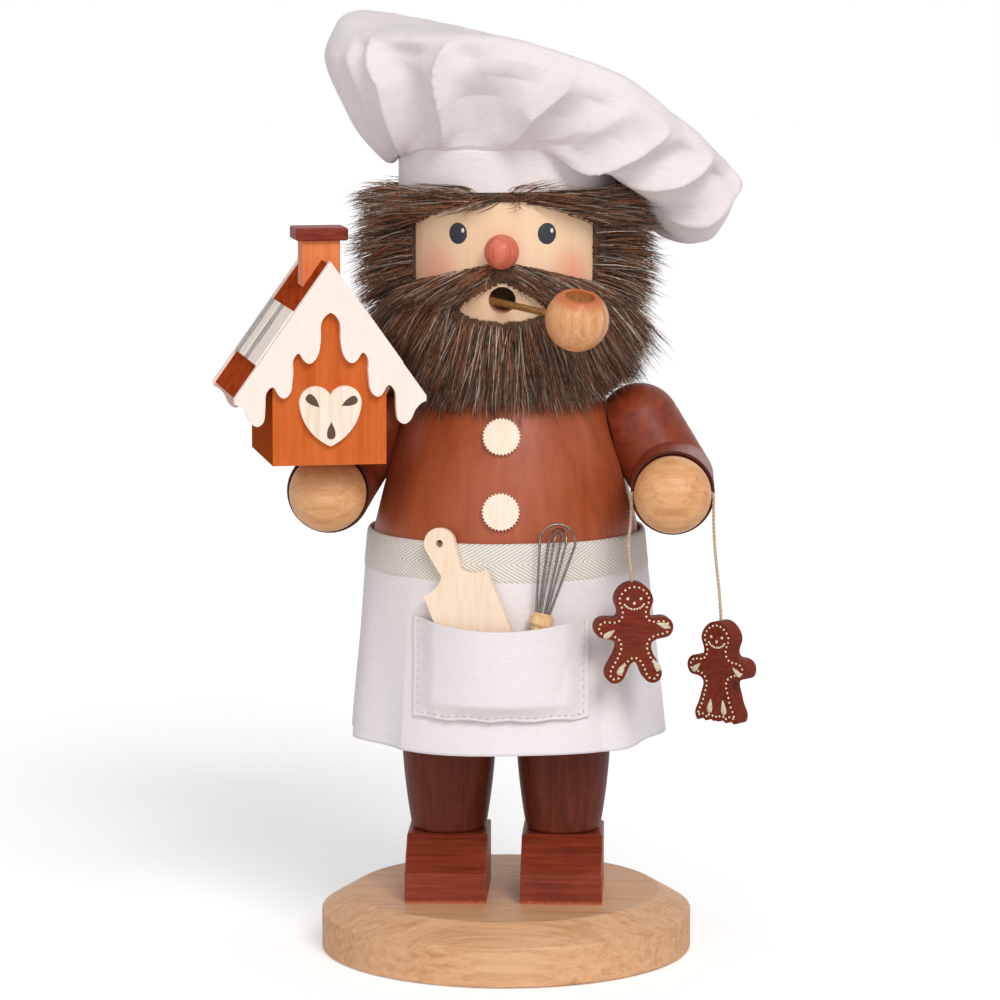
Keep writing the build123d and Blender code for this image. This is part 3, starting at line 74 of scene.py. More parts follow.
class Look:
    """A node material on one Principled shader, with coordinates in millimetres."""

    def __init__(self, name, roughness=0.5, specular=0.5, metallic=0.0, sheen=0.0):
        self.material = bpy.data.materials.new(name)
        self.material.use_nodes = True
        self.tree = self.material.node_tree
        self.shader = self.tree.nodes["Principled BSDF"]
        self.fill(
            self.shader,
            {
                "Roughness": roughness,
                "Specular IOR Level": specular,
                "Metallic": metallic,
                "Sheen Weight": sheen,
            },
        )
        coordinates = self.node("ShaderNodeTexCoord").outputs
        self.normal = coordinates["Normal"]
        inputs = {0: coordinates["Object"], "Scale": 1 / MM}
        self.place = self.node("ShaderNodeVectorMath", inputs, operation="SCALE").outputs[0]

    def fill(self, node, inputs):
        """Links a node's inputs to sockets or sets them to values."""
        for key, value in inputs.items():
            if isinstance(value, bpy.types.NodeSocket):
                self.tree.links.new(value, node.inputs[key])
            else:
                node.inputs[key].default_value = value

    def node(self, kind, inputs=None, **settings):
        node = self.tree.nodes.new(kind)
        for key, value in settings.items():
            setattr(node, key, value)
        self.fill(node, inputs or {})
        return node

    def math(self, operation, first, second=0.0, third=0.0):
        inputs = {0: first, 1: second, 2: third}
        return self.node("ShaderNodeMath", inputs, operation=operation).outputs[0]

    def times(self, first, second):
        return self.math("MULTIPLY", first, second)

    def plus(self, first, second):
        return self.math("ADD", first, second)

    def axes(self):
        """The x, y and z of the point."""
        return self.node("ShaderNodeSeparateXYZ", {0: self.place}).outputs

    def waves(self, value, pitch):
        """A sine wave along a value in millimetres."""
        return self.math("SINE", self.times(value, 2 * pi / pitch))

    def around(self, radius):
        """Distance round the figure at a radius, from its front."""
        x, y, _ = self.axes()
        return self.times(self.math("ARCTAN2", x, self.times(y, -1)), radius)

    def stretch(self, scale, rotation=(0, 0, 0), shift=(0, 0, 0)):
        inputs = {"Vector": self.place, "Scale": scale, "Rotation": rotation, "Location": shift}
        return self.node("ShaderNodeMapping", inputs).outputs[0]

    def noise(self, vector, scale=1.0, detail=3.0, rough=0.55, distortion=0.0):
        inputs = {"Vector": vector, "Scale": scale, "Detail": detail, "Roughness": rough}
        inputs["Distortion"] = distortion
        return self.node("ShaderNodeTexNoise", inputs).outputs[0]

    def ramp(self, value, *stops):
        node = self.node("ShaderNodeValToRGB", {0: value})
        elements = node.color_ramp.elements
        while len(elements) < len(stops):
            elements.new(0.5)
        for element, (position, colour) in zip(elements, stops):
            element.position = position
            element.color = colour
        return node.outputs[0]

    def step(self, value, low, high, start=0.0, end=1.0):
        """A smooth step of value from low to high."""
        inputs = {0: value, 1: low, 2: high, 3: start, 4: end}
        return self.node("ShaderNodeMapRange", inputs, interpolation_type="SMOOTHSTEP").outputs[0]

    def mix(self, share, first, second):
        inputs = {0: share, 6: first, 7: second}
        return self.node("ShaderNodeMix", inputs, data_type="RGBA").outputs[2]

    def measure(self, operation, vector, other):
        inputs = {0: vector, 1: tuple(other)}
        return self.node("ShaderNodeVectorMath", inputs, operation=operation).outputs["Value"]

    def along(self, direction, offset=0.0):
        """Distance of the point along a direction, in millimetres, past an offset."""
        return self.math("SUBTRACT", self.measure("DOT_PRODUCT", self.place, direction), offset)

    def facing(self, direction):
        return self.measure("DOT_PRODUCT", self.normal, direction)

    def near(self, point, inner, outer):
        """One near a point, falling to zero from the inner to the outer distance."""
        return self.step(self.measure("DISTANCE", self.place, point), inner, outer, 1.0, 0.0)

    def finish(self, colour, height=None, strength=0.2, depth=0.1, rough=None):
        """Gives the shader its colour, a bump from a height, and its roughness."""
        inputs = {"Base Color": colour}
        if height is not None:
            relief = {"Height": height, "Strength": strength, "Distance": depth * MM}
            inputs["Normal"] = self.node("ShaderNodeBump", relief).outputs[0]
        if rough is not None:
            inputs["Roughness"] = rough
        self.fill(self.shader, inputs)
        return self.material


GRAIN_STRETCH = {"X": (0.05, 1, 1), "Y": (1, 0.05, 1), "Z": (1, 1, 0.05)}


def wood(name, base, dark, pale, grain, flecks, satin, streak, specular, paint, tilt):
    """Turned or sawn beech: long streaks, fine pores and short ray flecks along the grain."""
    look = Look(name, satin, specular)
    stretch = GRAIN_STRETCH[grain]
    streaks = look.noise(look.stretch(stretch, tilt), streak, 4.0, 0.6, 0.6)
    pores = look.noise(look.stretch(stretch, tilt, (3, 7, 1)), 5.0, 3.0, 0.6)
    short = tuple(0.22 if s < 1 else 1 for s in stretch)
    fleck = look.step(look.noise(look.stretch(short, tilt, (9, 2, 5)), 2.6, 2.0, 0.5), 0.56, 0.68)
    clouds = look.noise(look.stretch((1, 1, 1)), 0.07, 2.0, 0.5)
    colour = look.ramp(streaks, (0.28, dark), (0.5, base), (0.74, pale))
    colour = look.mix(look.step(pores, 0.45, 0.7, 0.0, 0.35), colour, dark)
    colour = look.mix(look.times(fleck, flecks), colour, dark)
    colour = look.mix(look.step(clouds, 0.35, 0.7, 0.0, 0.25), colour, pale)
    if paint:
        colour = paint(look, colour)
    height = look.plus(pores, look.times(fleck, -0.5))
    rough = look.step(pores, 0.3, 0.7, satin - 0.06, satin + 0.08)
    return look.finish(colour, height, 0.12, 0.08, rough)


def wear(node, material):
    for slot in nodes[node].material_slots:
        slot.link = "OBJECT"
        slot.material = material


# ---------------------------------------------------------------- geometry helpers
def new_piece(name, points, faces, body, material, slot=None, smooth=True, layers=None):
    """One mesh piece from points in millimetres and triangles; it rides on a body."""
    faces = np.asarray(faces, np.int32).reshape(-1, 3)
    used, inverse = np.unique(faces, return_inverse=True)
    faces = inverse.reshape(-1, 3).astype(np.int32)
    points = np.asarray(points, float).reshape(-1, 3)[used] * MM
    mesh = bpy.data.meshes.new(name)
    mesh.vertices.add(len(points))
    mesh.vertices.foreach_set("co", points.astype(np.float32).ravel())
    mesh.loops.add(faces.size)
    mesh.loops.foreach_set("vertex_index", faces.ravel())
    mesh.polygons.add(len(faces))
    mesh.polygons.foreach_set("loop_start", np.arange(0, faces.size, 3, dtype=np.int32))
    mesh.polygons.foreach_set("use_smooth", np.full(len(faces), smooth))
    for worn in material if isinstance(material, list) else [material]:
        mesh.materials.append(worn)
    if layers is not None:
        mesh.polygons.foreach_set("material_index", np.asarray(layers, np.int32))
    mesh.update(calc_edges=True)
    mesh.validate()
    piece = bpy.data.objects.new(name, mesh)
    bpy.context.scene.collection.objects.link(piece)
    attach(piece, body)
    return piece


def grid_faces(rows, columns, wrap=True, start=0, first_pole=False, last_pole=False, flip=False):
    """Triangles over a grid of points, row by row; a pole row counts as its first point."""
    index = np.arange(rows * columns).reshape(rows, columns) + start
    if first_pole:
        index[0] = index[0, 0]
    if last_pole:
        index[-1] = index[-1, 0]
    if wrap:
        index = np.concatenate([index, index[:, :1]], axis=1)
    a, b = index[:-1, :-1].ravel(), index[:-1, 1:].ravel()
    c, d = index[1:, 1:].ravel(), index[1:, :-1].ravel()
    faces = np.concatenate([np.stack([a, b, c], 1), np.stack([a, c, d], 1)])
    faces = faces[(faces != np.roll(faces, 1, 1)).all(1)]
    return faces[:, ::-1] if flip else faces


def shell(outer, inner, wrap, last_pole=False):
    """A closed thin shell between two grids of points, outer and inner."""
    rows, columns = outer.shape[:2]
    count = rows * columns
    points = np.concatenate([outer.reshape(-1, 3), inner.reshape(-1, 3)])
    faces = [
        grid_faces(rows, columns, wrap, 0, last_pole=last_pole),
        grid_faces(rows, columns, wrap, count, last_pole=last_pole, flip=True),
    ]
    index = np.arange(count).reshape(rows, columns)
    edges = [(index[0], True)] + ([] if last_pole else [(index[-1], False)])
    if not wrap:
        edges += [(index[:, 0], False), (index[:, -1], True)]
    for edge, turned in edges:
        if wrap:
            edge = np.append(edge, edge[0])
        a, b = edge[:-1], edge[1:]
        far_a, far_b = a + count, b + count
        quad = np.concatenate([np.stack([a, far_a, far_b], 1), np.stack([a, far_b, b], 1)])
        faces.append(quad if turned else quad[:, ::-1])
    return points, np.concatenate(faces)


def grid_normals(grid, wrap):
    """Unit normals of a grid of points, pointing to the side from which rows x columns is seen."""
    down = np.gradient(grid, axis=0)
    if wrap:
        across = (np.roll(grid, -1, 1) - np.roll(grid, 1, 1)) / 2
    else:
        across = np.gradient(grid, axis=1)
    normal = np.cross(across, down)
    return normal / np.maximum(np.linalg.norm(normal, axis=2, keepdims=True), 1e-9)


def wobble(points, pitch, seed, waves=7):
    """Smooth noise between about -1 and 1 with features of the given pitch in millimetres."""
    draw = np.random.default_rng(seed)
    directions = draw.normal(size=(waves, 3))
    directions /= np.linalg.norm(directions, axis=1, keepdims=True)
    factors = 2 * pi / (pitch * draw.uniform(0.7, 1.6, waves))
    phases = draw.uniform(0, 2 * pi, waves)
    total = np.sin(points @ (directions * factors[:, None]).T + phases)
    return total.sum(-1) / sqrt(waves) / 1.2


def pads(outline, profile, origins, across, upwards, outwards):
    """Small closed pads: an outline scaled and lifted by each step of a profile."""
    outline = np.asarray(outline, float)
    profile = np.asarray(profile, float)
    sides, steps = len(outline), len(profile)
    origins = np.atleast_2d(origins)
    frames = [np.broadcast_to(np.atleast_2d(v), origins.shape) for v in (across, upwards, outwards)]
    flat = profile[:, None, 0, None] * outline[None]
    heights = np.broadcast_to(profile[:, None, 1], (steps, sides))
    points = (
        origins[:, None, None]
        + flat[None, ..., 0, None] * frames[0][:, None, None]
        + flat[None, ..., 1, None] * frames[1][:, None, None]
        + heights[None, ..., None] * frames[2][:, None, None]
    )
    faces = grid_faces(steps, sides, True, 0, True, True)
    every = np.concatenate([faces + k * steps * sides for k in range(len(origins))])
    return points.reshape(-1, 3), every


def circle(sides):
    angles = np.linspace(0, 2 * pi, sides, endpoint=False)
    return np.stack([np.cos(angles), np.sin(angles)], 1)


def join_parts(parts):
    """Points and faces of several meshes as one."""
    points, faces, start = [], [], 0
    for some_points, some_faces in parts:
        some_points = np.asarray(some_points).reshape(-1, 3)
        points.append(some_points)
        faces.append(np.asarray(some_faces) + start)
        start += len(some_points)
    return np.concatenate(points), np.concatenate(faces)


def path_frames(path):
    """Two side directions that turn as little as possible along a path."""
    tangents = np.gradient(path, axis=0)
    tangents /= np.linalg.norm(tangents, axis=1, keepdims=True)
    side = np.cross(tangents[0], (0.3, 0.9, 0.2))
    sides = []
    for tangent in tangents:
        side = side - tangent * (side @ tangent)
        side = side / np.linalg.norm(side)
        sides.append(side)
    sides = np.array(sides)
    return sides, np.cross(tangents, sides)


def tube(path, radius, sides=8):
    """A closed round tube along a path."""
    path = np.asarray(path, float)
    across, over = path_frames(path)
    ring = circle(sides)
    rows = path[:, None] + radius * (
        ring[None, :, 0, None] * across[:, None] + ring[None, :, 1, None] * over[:, None]
    )
    first = np.repeat(path[:1, None], sides, 1)
    last = np.repeat(path[-1:, None], sides, 1)
    rows = np.concatenate([first, rows, last])
    return rows.reshape(-1, 3), grid_faces(len(path) + 2, sides, True, 0, True, True)


def periodic_spline(points, samples):
    """Closed cubic spline through points, sampled evenly by chord length."""
    points = np.asarray(points, float)
    count = len(points)
    chords = np.linalg.norm(np.roll(points, -1, 0) - points, axis=1)
    before = np.roll(chords, 1)
    system = np.zeros((count, count))
    for k in range(count):
        system[k, (k - 1) % count] = chords[k]
        system[k, k] = 2 * (chords[k] + before[k])
        system[k, (k + 1) % count] = before[k]
    rises = (np.roll(points, -1, 0) - points) / chords[:, None]
    slopes = np.linalg.solve(
        system, 3 * (before[:, None] * rises + chords[:, None] * np.roll(rises, 1, 0))
    )
    knots = np.concatenate([[0], np.cumsum(chords)])
    places = np.linspace(0, knots[-1], samples, endpoint=False)
    segment = np.clip(np.searchsorted(knots, places, "right") - 1, 0, count - 1)
    t = ((places - knots[segment]) / chords[segment])[:, None]
    h = chords[segment][:, None]
    following = (segment + 1) % count
    return (
        (2 * t**3 - 3 * t**2 + 1) * points[segment]
        + (t**3 - 2 * t**2 + t) * h * slopes[segment]
        + (-2 * t**3 + 3 * t**2) * points[following]
        + (t**3 - t**2) * h * slopes[following]
    )


def even_points(line, spacing, closed=True):
    """Points at an even spacing along a polyline."""
    if closed:
        line = np.concatenate([line, line[:1]])
    lengths = np.concatenate([[0], np.cumsum(np.linalg.norm(np.diff(line, axis=0), axis=1))])
    count = max(2, round(lengths[-1] / spacing))
    places = np.linspace(0, lengths[-1], count, endpoint=not closed)
    return np.stack([np.interp(places, lengths, line[:, k]) for k in range(line.shape[1])], 1)


def twine_path(name, points):
    """The line of a cord: an open NURBS spline over the route's points."""
    curve = bpy.data.curves.new(name, "CURVE")
    curve.dimensions = "3D"
    curve.resolution_u = 24
    spline = curve.splines.new("NURBS")
    spline.points.add(len(points) - 1)
    for spline_point, point in zip(spline.points, points):
        spline_point.co = (*(v * MM for v in point), 1)
    spline.order_u = 3
    spline.use_endpoint_u = True
    carrier = bpy.data.objects.new(name, curve)
    bpy.context.scene.collection.objects.link(carrier)
    bpy.context.view_layer.update()
    evaluated = carrier.evaluated_get(bpy.context.evaluated_depsgraph_get())
    mesh = bpy.data.meshes.new_from_object(evaluated)
    path = np.array([v.co for v in mesh.vertices]) / MM
    bpy.data.objects.remove(carrier)
    bpy.data.meshes.remove(mesh)
    return path


twine_look = Look("twine", 0.9, 0.2, sheen=0.3)
twine_fibres = twine_look.noise(twine_look.stretch((1, 1, 0.4), (0.5, 0.3, 0)), 5.0, 3.0, 0.7)
twine_tone = twine_look.noise(twine_look.place, 0.5, 2.0)
twine_colour = twine_look.ramp(
    twine_fibres, (0.3, rgb(150, 125, 95)), (0.5, rgb(205, 182, 150)), (0.7, rgb(232, 214, 184))
)
twine_colour = twine_look.mix(
    twine_look.step(twine_tone, 0.4, 0.7, 0, 0.3), twine_colour, rgb(182, 152, 114)
)
twine = twine_look.finish(twine_colour, twine_fibres, 0.5, 0.1)

STRING_TOP = 139.7
MAN_STRING = ((0, 0), (0, 5.5), (-1.2, 13), (0.2, 22.5), (0.45, 31))
WOMAN_STRING = ((0, 0), (0, 8), (0.9, 18.5), (2.3, 30.5), (2.65, 42))
MAN_X, WOMAN_X, STRING_Y = 37.4027, 60.5973, -43.774
WRAP_START_Z, WRAP_Z = 139.9, 141.3
WRAP_POINTS = (
    (MAN_X, STRING_Y, WRAP_START_Z),
    (MAN_X, STRING_Y, WRAP_Z),
    (37.65, -42.6, WRAP_Z),
    (38.508, -38.57, WRAP_Z),
    (44.892, -33.4, WRAP_Z),
    (53.108, -33.4, WRAP_Z),
    (59.492, -38.57, WRAP_Z),
    (60.35, -42.6, WRAP_Z),
    (WOMAN_X, STRING_Y, WRAP_Z),
    (WOMAN_X, STRING_Y, WRAP_START_Z),
)
PLY_REACH = 0.21
PLY_RADIUS = 0.29
PLY_PITCH = 2.3
PLY_STEP = 0.16


def twine_piece(name, points, body):
    """Two plies twisted round each other along the cord's line."""
    path = even_points(twine_path(name + "_line", points), PLY_STEP, closed=False)
    across, over = path_frames(path)
    lengths = np.concatenate([[0], np.cumsum(np.linalg.norm(np.diff(path, axis=0), axis=1))])
    plies = []
    for start in (0, pi):
        angle = lengths[:, None] * 2 * pi / PLY_PITCH + start
        twist = np.cos(angle) * across + np.sin(angle) * over
        plies.append(tube(path + PLY_REACH * twist, PLY_RADIUS))
    piece = new_piece(name, *join_parts(plies), body, twine, "twine")
    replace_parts(piece, name.removesuffix("_twine"))


twine_piece("string_over_hand_twine", WRAP_POINTS, "upper_body")
for string, top_x, route, real_length in (
    ("string_man", MAN_X, MAN_STRING, 31.1),
    ("string_woman", WOMAN_X, WOMAN_STRING, 42.1),
):
    hanging = [(top_x + sway, STRING_Y, STRING_TOP - drop) for sway, drop in route]
    twine_piece(f"{string}_twine", hanging, string)

# ---------------------------------------------------------------- levels of the figure
BELLY_Z = 104.0
TORSO_RADIUS = 40.9
TORSO_ARC = 172.0
NECK_Z = 175.0
HEAD_RADIUS = 30.0
CHIN_Z = 203.0
CHIN_ARC = 38.67
BAND_Z = 114.6
BAND_TOP_Z = 126.1
HEM_Z = 65.6


def torso_radius_at(z):
    return TORSO_RADIUS - TORSO_ARC + np.sqrt(TORSO_ARC**2 - (np.asarray(z) - BELLY_Z) ** 2)


def head_radius_at(z):
    """The head's outline: a straight barrel above a round chin."""
    drop = np.maximum(CHIN_Z - np.asarray(z), 0)
    return HEAD_RADIUS - CHIN_ARC + np.sqrt(CHIN_ARC**2 - drop**2)


# ---------------------------------------------------------------- cloth
SKIRT_MEAN_RADIUS = 43.0
APRON_CLOTH = 1.0
POCKET_CLOTH = 0.75
HAT_CLOTH = 0.55


def cloth(name, base, shade, pale, weave, fuzz):
    """Woven cotton: a plain weave of fine threads with slubs and a soft nap."""
    look = Look(name, 0.85, 0.25, sheen=0.25)
    look.fill(look.shader, {"Sheen Roughness": 0.6})
    jitter = look.times(look.noise(look.place, 0.8, 3.0), 1.2)
    warp = look.waves(look.plus(look.around(SKIRT_MEAN_RADIUS), jitter), 1 / weave)
    weft = look.waves(look.plus(look.along((0, 0, 1)), jitter), 1 / weave)
    threads = look.times(warp, weft)
    slubs = look.noise(look.stretch((0.25, 0.25, 2.5)), 1.5, 4.0, 0.7)
    clouds = look.noise(look.place, 0.06, 3.0, 0.6)
    colour = look.mix(look.step(threads, -1, 1, 0.0, 0.5), shade, base)
    colour = look.mix(look.step(slubs, 0.35, 0.7, 0.0, 0.45), colour, pale)
    colour = look.mix(look.step(clouds, 0.35, 0.7, 0.0, 0.3), colour, shade)
    height = look.plus(look.times(threads, 0.5), look.times(slubs, fuzz))
    return look.finish(colour, height, 0.35, 0.12)


apron_cloth = cloth(
    "apron_cloth", rgb(250, 242, 242), rgb(234, 224, 226), rgb(254, 250, 249), 2.2, 0.4
)
hat_cloth = cloth(
    "hat_cloth", rgb(248, 240, 239), rgb(232, 221, 220), rgb(254, 250, 248), 2.0, 0.5
)

# ---- waistband: a herringbone tape round the body
tape = Look("herringbone_tape", 0.85, 0.2, sheen=0.2)
TAPE_PITCH = 1.65
TAPE_SLANT = -1.7
TAPE_THREAD = 0.42
tape_height = tape.axes()["Z"]
tape_rise = tape.math("ABSOLUTE", tape.plus(tape_height, -(BAND_Z + BAND_TOP_Z) / 2))
tape_jitter = tape.times(tape.noise(tape.place, 0.9, 3.0), 0.35)
tape_across = tape.plus(tape.around(41.0), tape_jitter)
tape_wale = tape.waves(tape.plus(tape.times(tape_rise, TAPE_SLANT), tape_across), TAPE_PITCH)
tape_relief = tape.plus(tape_wale, tape.times(tape.waves(tape_height, TAPE_THREAD), 0.3))
tape_clouds = tape.noise(tape.place, 0.15, 3.0)
tape_colour = tape.mix(tape.step(tape_relief, -1.1, 0.9), rgb(200, 191, 180), rgb(252, 246, 238))
tape_colour = tape.mix(tape.step(tape_clouds, 0.35, 0.7, 0, 0.35), tape_colour, rgb(226, 220, 212))
tape_material = tape.finish(tape_colour, tape_relief, 0.6, 0.12)


def sheet_piece(
    name, node, outer, inner, material, slot, wrap=True, turned=False, pole=False, **facts
):
    """A thin cloth shell that takes a node's place; its facts are not used."""
    points, faces = shell(outer, inner, wrap, pole)
    faces = faces[:, ::-1] if turned else faces
    piece = new_piece(name, points, faces, "upper_body", material, slot)
    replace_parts(piece, node)


def ease(share):
    """Zero to one with soft ends."""
    share = np.clip(share, 0, 1)
    return share * share * (3 - 2 * share)


BAND_ROWS = 15
band_z = np.linspace(BAND_Z, BAND_TOP_Z, BAND_ROWS)
band_angles = np.linspace(0, 2 * pi, 360, endpoint=False)
band_lift = np.interp(
    np.linspace(0, 1, BAND_ROWS),
    [0, 0.04, 0.12, 0.5, 0.88, 0.96, 1],
    [0.85, 1.15, 1.22, 1.15, 1.22, 1.15, 0.85],
)


def ring_points(radius, angles, z):
    """Points round the figure: angle zero is its front, positive to the right."""
    shape = np.broadcast(radius, angles, z).shape
    return np.stack(
        [
            np.broadcast_to(radius * np.sin(angles), shape),
            np.broadcast_to(-radius * np.cos(angles), shape),
            np.broadcast_to(z, shape),
        ],
        -1,
    )


band_edge = 0.12 * np.sin(band_angles * 3 + 1) + 0.1 * np.sin(band_angles * 7)
band_heights = band_z[:, None] + band_edge[None] * np.linspace(-1, 0.6, BAND_ROWS)[:, None]
band_base = torso_radius_at(band_z)[:, None] + 0.2
band_outer = ring_points(band_base + band_lift[:, None], band_angles[None], band_heights)
band_inner = ring_points(band_base + 0 * band_angles[None], band_angles[None], band_heights)
sheet_piece(
    "waistband_tape", "apron_waistband", band_outer, band_inner, tape_material, "tape",
    flat=(0.259, 0.0115), held="stretched", rests_on=["torso_shell"],
)

# ---- skirt: plain in front, folds at the sides, open behind
SKIRT_TOP_RADIUS = float(torso_radius_at(BAND_Z)) + 1.3
SKIRT_FLARE = 4.4
SKIRT_LENGTH = BAND_Z - HEM_Z
FRONT_ANGLE = radians(39)
BACK_ANGLE = radians(150)
FOLD_ANGLE = (BACK_ANGLE - FRONT_ANGLE) / 6


def skirt_radius_at(z):
    return SKIRT_TOP_RADIUS + SKIRT_FLARE * (BAND_Z - z) / SKIRT_LENGTH


skirt_z = np.linspace(BAND_Z + 0.9, HEM_Z, 60)[:, None]
skirt_angles = np.linspace(-BACK_ANGLE, BACK_ANGLE, 520)[None]
side_share = np.maximum(np.abs(skirt_angles) - FRONT_ANGLE, 0) / FOLD_ANGLE
fall = np.clip((BAND_Z - skirt_z) / SKIRT_LENGTH, 0, 1)
fold = np.where(skirt_angles < 0, -1, 1) * np.sin(pi * side_share) * (0.1 + 1.15 * fall)
arc, height = np.broadcast_arrays(skirt_angles * SKIRT_MEAN_RADIUS, skirt_z)
skirt_flat = np.stack([arc, height, 0 * arc], -1)
drape = 0.22 * wobble(skirt_flat * np.array([1, 0.35, 1]), 11, 3) * fall
plain_front = np.clip((np.abs(skirt_angles) - radians(33)) / radians(10), 0, 1)
drape = drape * plain_front
hem = np.clip((skirt_z - HEM_Z) / 3.0, 0, 1)
skirt_heights = skirt_z + (1 - hem) * 0.25 * np.sin(skirt_angles * 5 + 0.7)
skirt_reach = skirt_radius_at(skirt_z) + fold + drape
skirt_outer = ring_points(skirt_reach, skirt_angles, skirt_heights)
skirt_inner = ring_points(skirt_reach - APRON_CLOTH, skirt_angles, skirt_heights)
sheet_piece(
    "apron_skirt_cloth", "apron_skirt", skirt_outer, skirt_inner, apron_cloth, "apron_cloth",
    wrap=False, turned=True, flat=(0.228, 0.050), held="hung", rests_on=["waistband_tape"],
)

# ---- pocket: sewn at three edges, bulged by what it carries
POCKET_HALF = 25.3
POCKET_TOP_Z = BAND_Z - 9.6
POCKET_BOTTOM_Z = POCKET_TOP_Z - 29.0


def pocket_point(u, v, lift_shift=0.0):
    """u runs across from -1 to 1, v from the bottom (0) to the mouth (1)."""
    x = POCKET_HALF * u * (1 + 0.004 * np.sin(9 * v))
    sag = 2.4 * (1 - u**2)
    z = POCKET_BOTTOM_Z + v * (POCKET_TOP_Z - sag - POCKET_BOTTOM_Z)
    edge = ease((1 - np.abs(u)) / 0.26)
    foot = ease(v / 0.2)
    radius = skirt_radius_at(z)
    skirt_y = np.sqrt(radius**2 - x**2)
    straight_y = np.sqrt(radius**2 - POCKET_HALF**2)
    room = 5.6 + 3.6 * v
    bulge = radius + room - skirt_y - (radius + room - straight_y - 3.0) * u**2
    lift = 0.9 + (np.maximum(bulge, 1.2) - 0.9) * edge * (0.25 + 0.75 * foot)
    crease = 0.45 * np.exp(-(((u - 0.62 - 0.25 * v) / 0.07) ** 2))
    crease = crease * np.sin(pi * np.clip(v * 1.2, 0, 1))
    ripple = 0.16 * np.sin(u * 31 + 1.3 * np.sin(u * 9)) * (1 - foot) * edge
    lift = lift - crease * edge + ripple + lift_shift
    hem = 0.25 * (1 - foot) * np.sin(u * 13)
    return np.stack([x + 0 * lift, -(skirt_y + lift), z + 0 * lift + hem], -1)


pocket_u = np.linspace(-1, 1, 150)[None]
pocket_v = np.linspace(0, 1, 80)[:, None]
pocket_outer = pocket_point(pocket_u, pocket_v)
pocket_inner = pocket_outer + [0, POCKET_CLOTH, 0]
sheet_piece(
    "apron_pocket_cloth", "apron_pocket", pocket_outer, pocket_inner, apron_cloth, "apron_cloth",
    wrap=False, flat=(0.056, 0.031), held="stretched", rests_on=["apron_skirt_cloth"],
)

# The seam runs down one side, along the foot and up the other, in the pocket's u and v
SEAM_U = 1 - 0.06
SEAM_FOOT, SEAM_TOP = 0.045, 0.97
STITCH_LENGTH = 1.15
THREAD_RADIUS = 0.14
seam = np.concatenate(
    [
        np.stack([np.full(60, -SEAM_U), np.linspace(SEAM_TOP, SEAM_FOOT, 60)], 1),
        np.stack([np.linspace(-SEAM_U, SEAM_U, 120), np.full(120, SEAM_FOOT)], 1),
        np.stack([np.full(60, SEAM_U), np.linspace(SEAM_FOOT, SEAM_TOP, 60)], 1),
    ]
)
seam_line = pocket_point(seam[:, 0], seam[:, 1], 0.02)
stitch_ends = even_points(seam_line, STITCH_LENGTH, closed=False)
stitch_parts = []
for start, end in zip(stitch_ends[0::2], stitch_ends[1::2]):
    share = np.linspace(0, 1, 7)[:, None]
    arc = start + (end - start) * share + np.array([0, -1, 0]) * 0.12 * np.sin(pi * share)
    stitch_parts.append(tube(arc, THREAD_RADIUS, 6))
thread_look = Look("sewing_thread", 0.7, 0.3, sheen=0.2)
thread_noise = thread_look.noise(thread_look.place, 4.0, 2.0)
thread = thread_look.finish(
    thread_look.ramp(thread_noise, (0.3, rgb(176, 168, 168)), (0.7, rgb(222, 214, 212))),
    thread_noise,
    0.3,
    0.05,
)
new_piece("pocket_stitches", *join_parts(stitch_parts), "upper_body", thread, "apron_cloth")

# ---------------------------------------------------------------- hat
# Rows of the crown from the band to the middle of its top: left and right ends, front and rear
# reach, then the heights at twelve places round it, from the right end over the rear to the
# left end and back over the front.
CROWN_ROWS = (
    (-30.9, 30.9, -30.9, 30.9, (237.4,) * 12),
    (-33.6, 36.0, -33.2, 34.5,
     (228, 227, 233, 236, 236.5, 235, 233, 236.5, 239.2, 239.6, 236.2, 231)),
    (-38.0, 48.0, -38.0, 40.0,
     (212, 213, 224, 234, 237, 236, 235.8, 239.5, 243.2, 243.4, 232.5, 224.5)),
    (-45.4, 59.5, -43.5, 46.0,
     (211, 214, 228, 240, 246, 247, 245, 248, 251, 250, 238.5, 226)),
    (-52.4, 67.2, -46.2, 48.0,
     (223, 224, 236, 248, 257, 262, 260.5, 260.5, 259.5, 257, 247, 234)),
    (-51.6, 65.5, -45.6, 46.0,
     (230, 232, 243, 255, 265, 270, 268.5, 266.5, 265.6, 263, 253.5, 241)),
    (-46.0, 58.5, -43.2, 40.0,
     (236.2, 240, 249, 260.5, 271, 276, 275.6, 271, 270.2, 269, 260, 246)),
    (-33.0, 42.0, -32.0, 26.0,
     (246.2, 250, 257, 265, 272, 275.4, 276, 273.2, 271.2, 268.6, 261, 251.5)),
    (-16.0, 20.0, -15.0, 12.0,
     (258, 260, 264, 268, 270.5, 272, 272.2, 271.2, 270.2, 268, 264.5, 260.5)),
    (-3.0, 4.5, -3.0, 3.0,
     (266.5, 266.8, 267.3, 267.8, 268, 268.2, 268.4, 268.2, 268, 267.7, 267.2, 266.7)),
)


def cubic(values, places):
    """Smooth curve through values at 0, 1, 2 ..., read at places (first axis)."""
    values = np.asarray(values, float)
    padded = np.concatenate([2 * values[:1] - values[1:2], values, 2 * values[-1:] - values[-2:-1]])
    base = np.clip(np.floor(places).astype(int), 0, len(values) - 2)
    t = (places - base).reshape((-1,) + (1,) * (values.ndim - 1))
    a, b, c, d = (padded[base + k] for k in range(4))
    return 0.5 * (
        2 * b + (c - a) * t + (2 * a - 5 * b + 4 * c - d) * t**2 + (3 * b - a - 3 * c + d) * t**3
    )


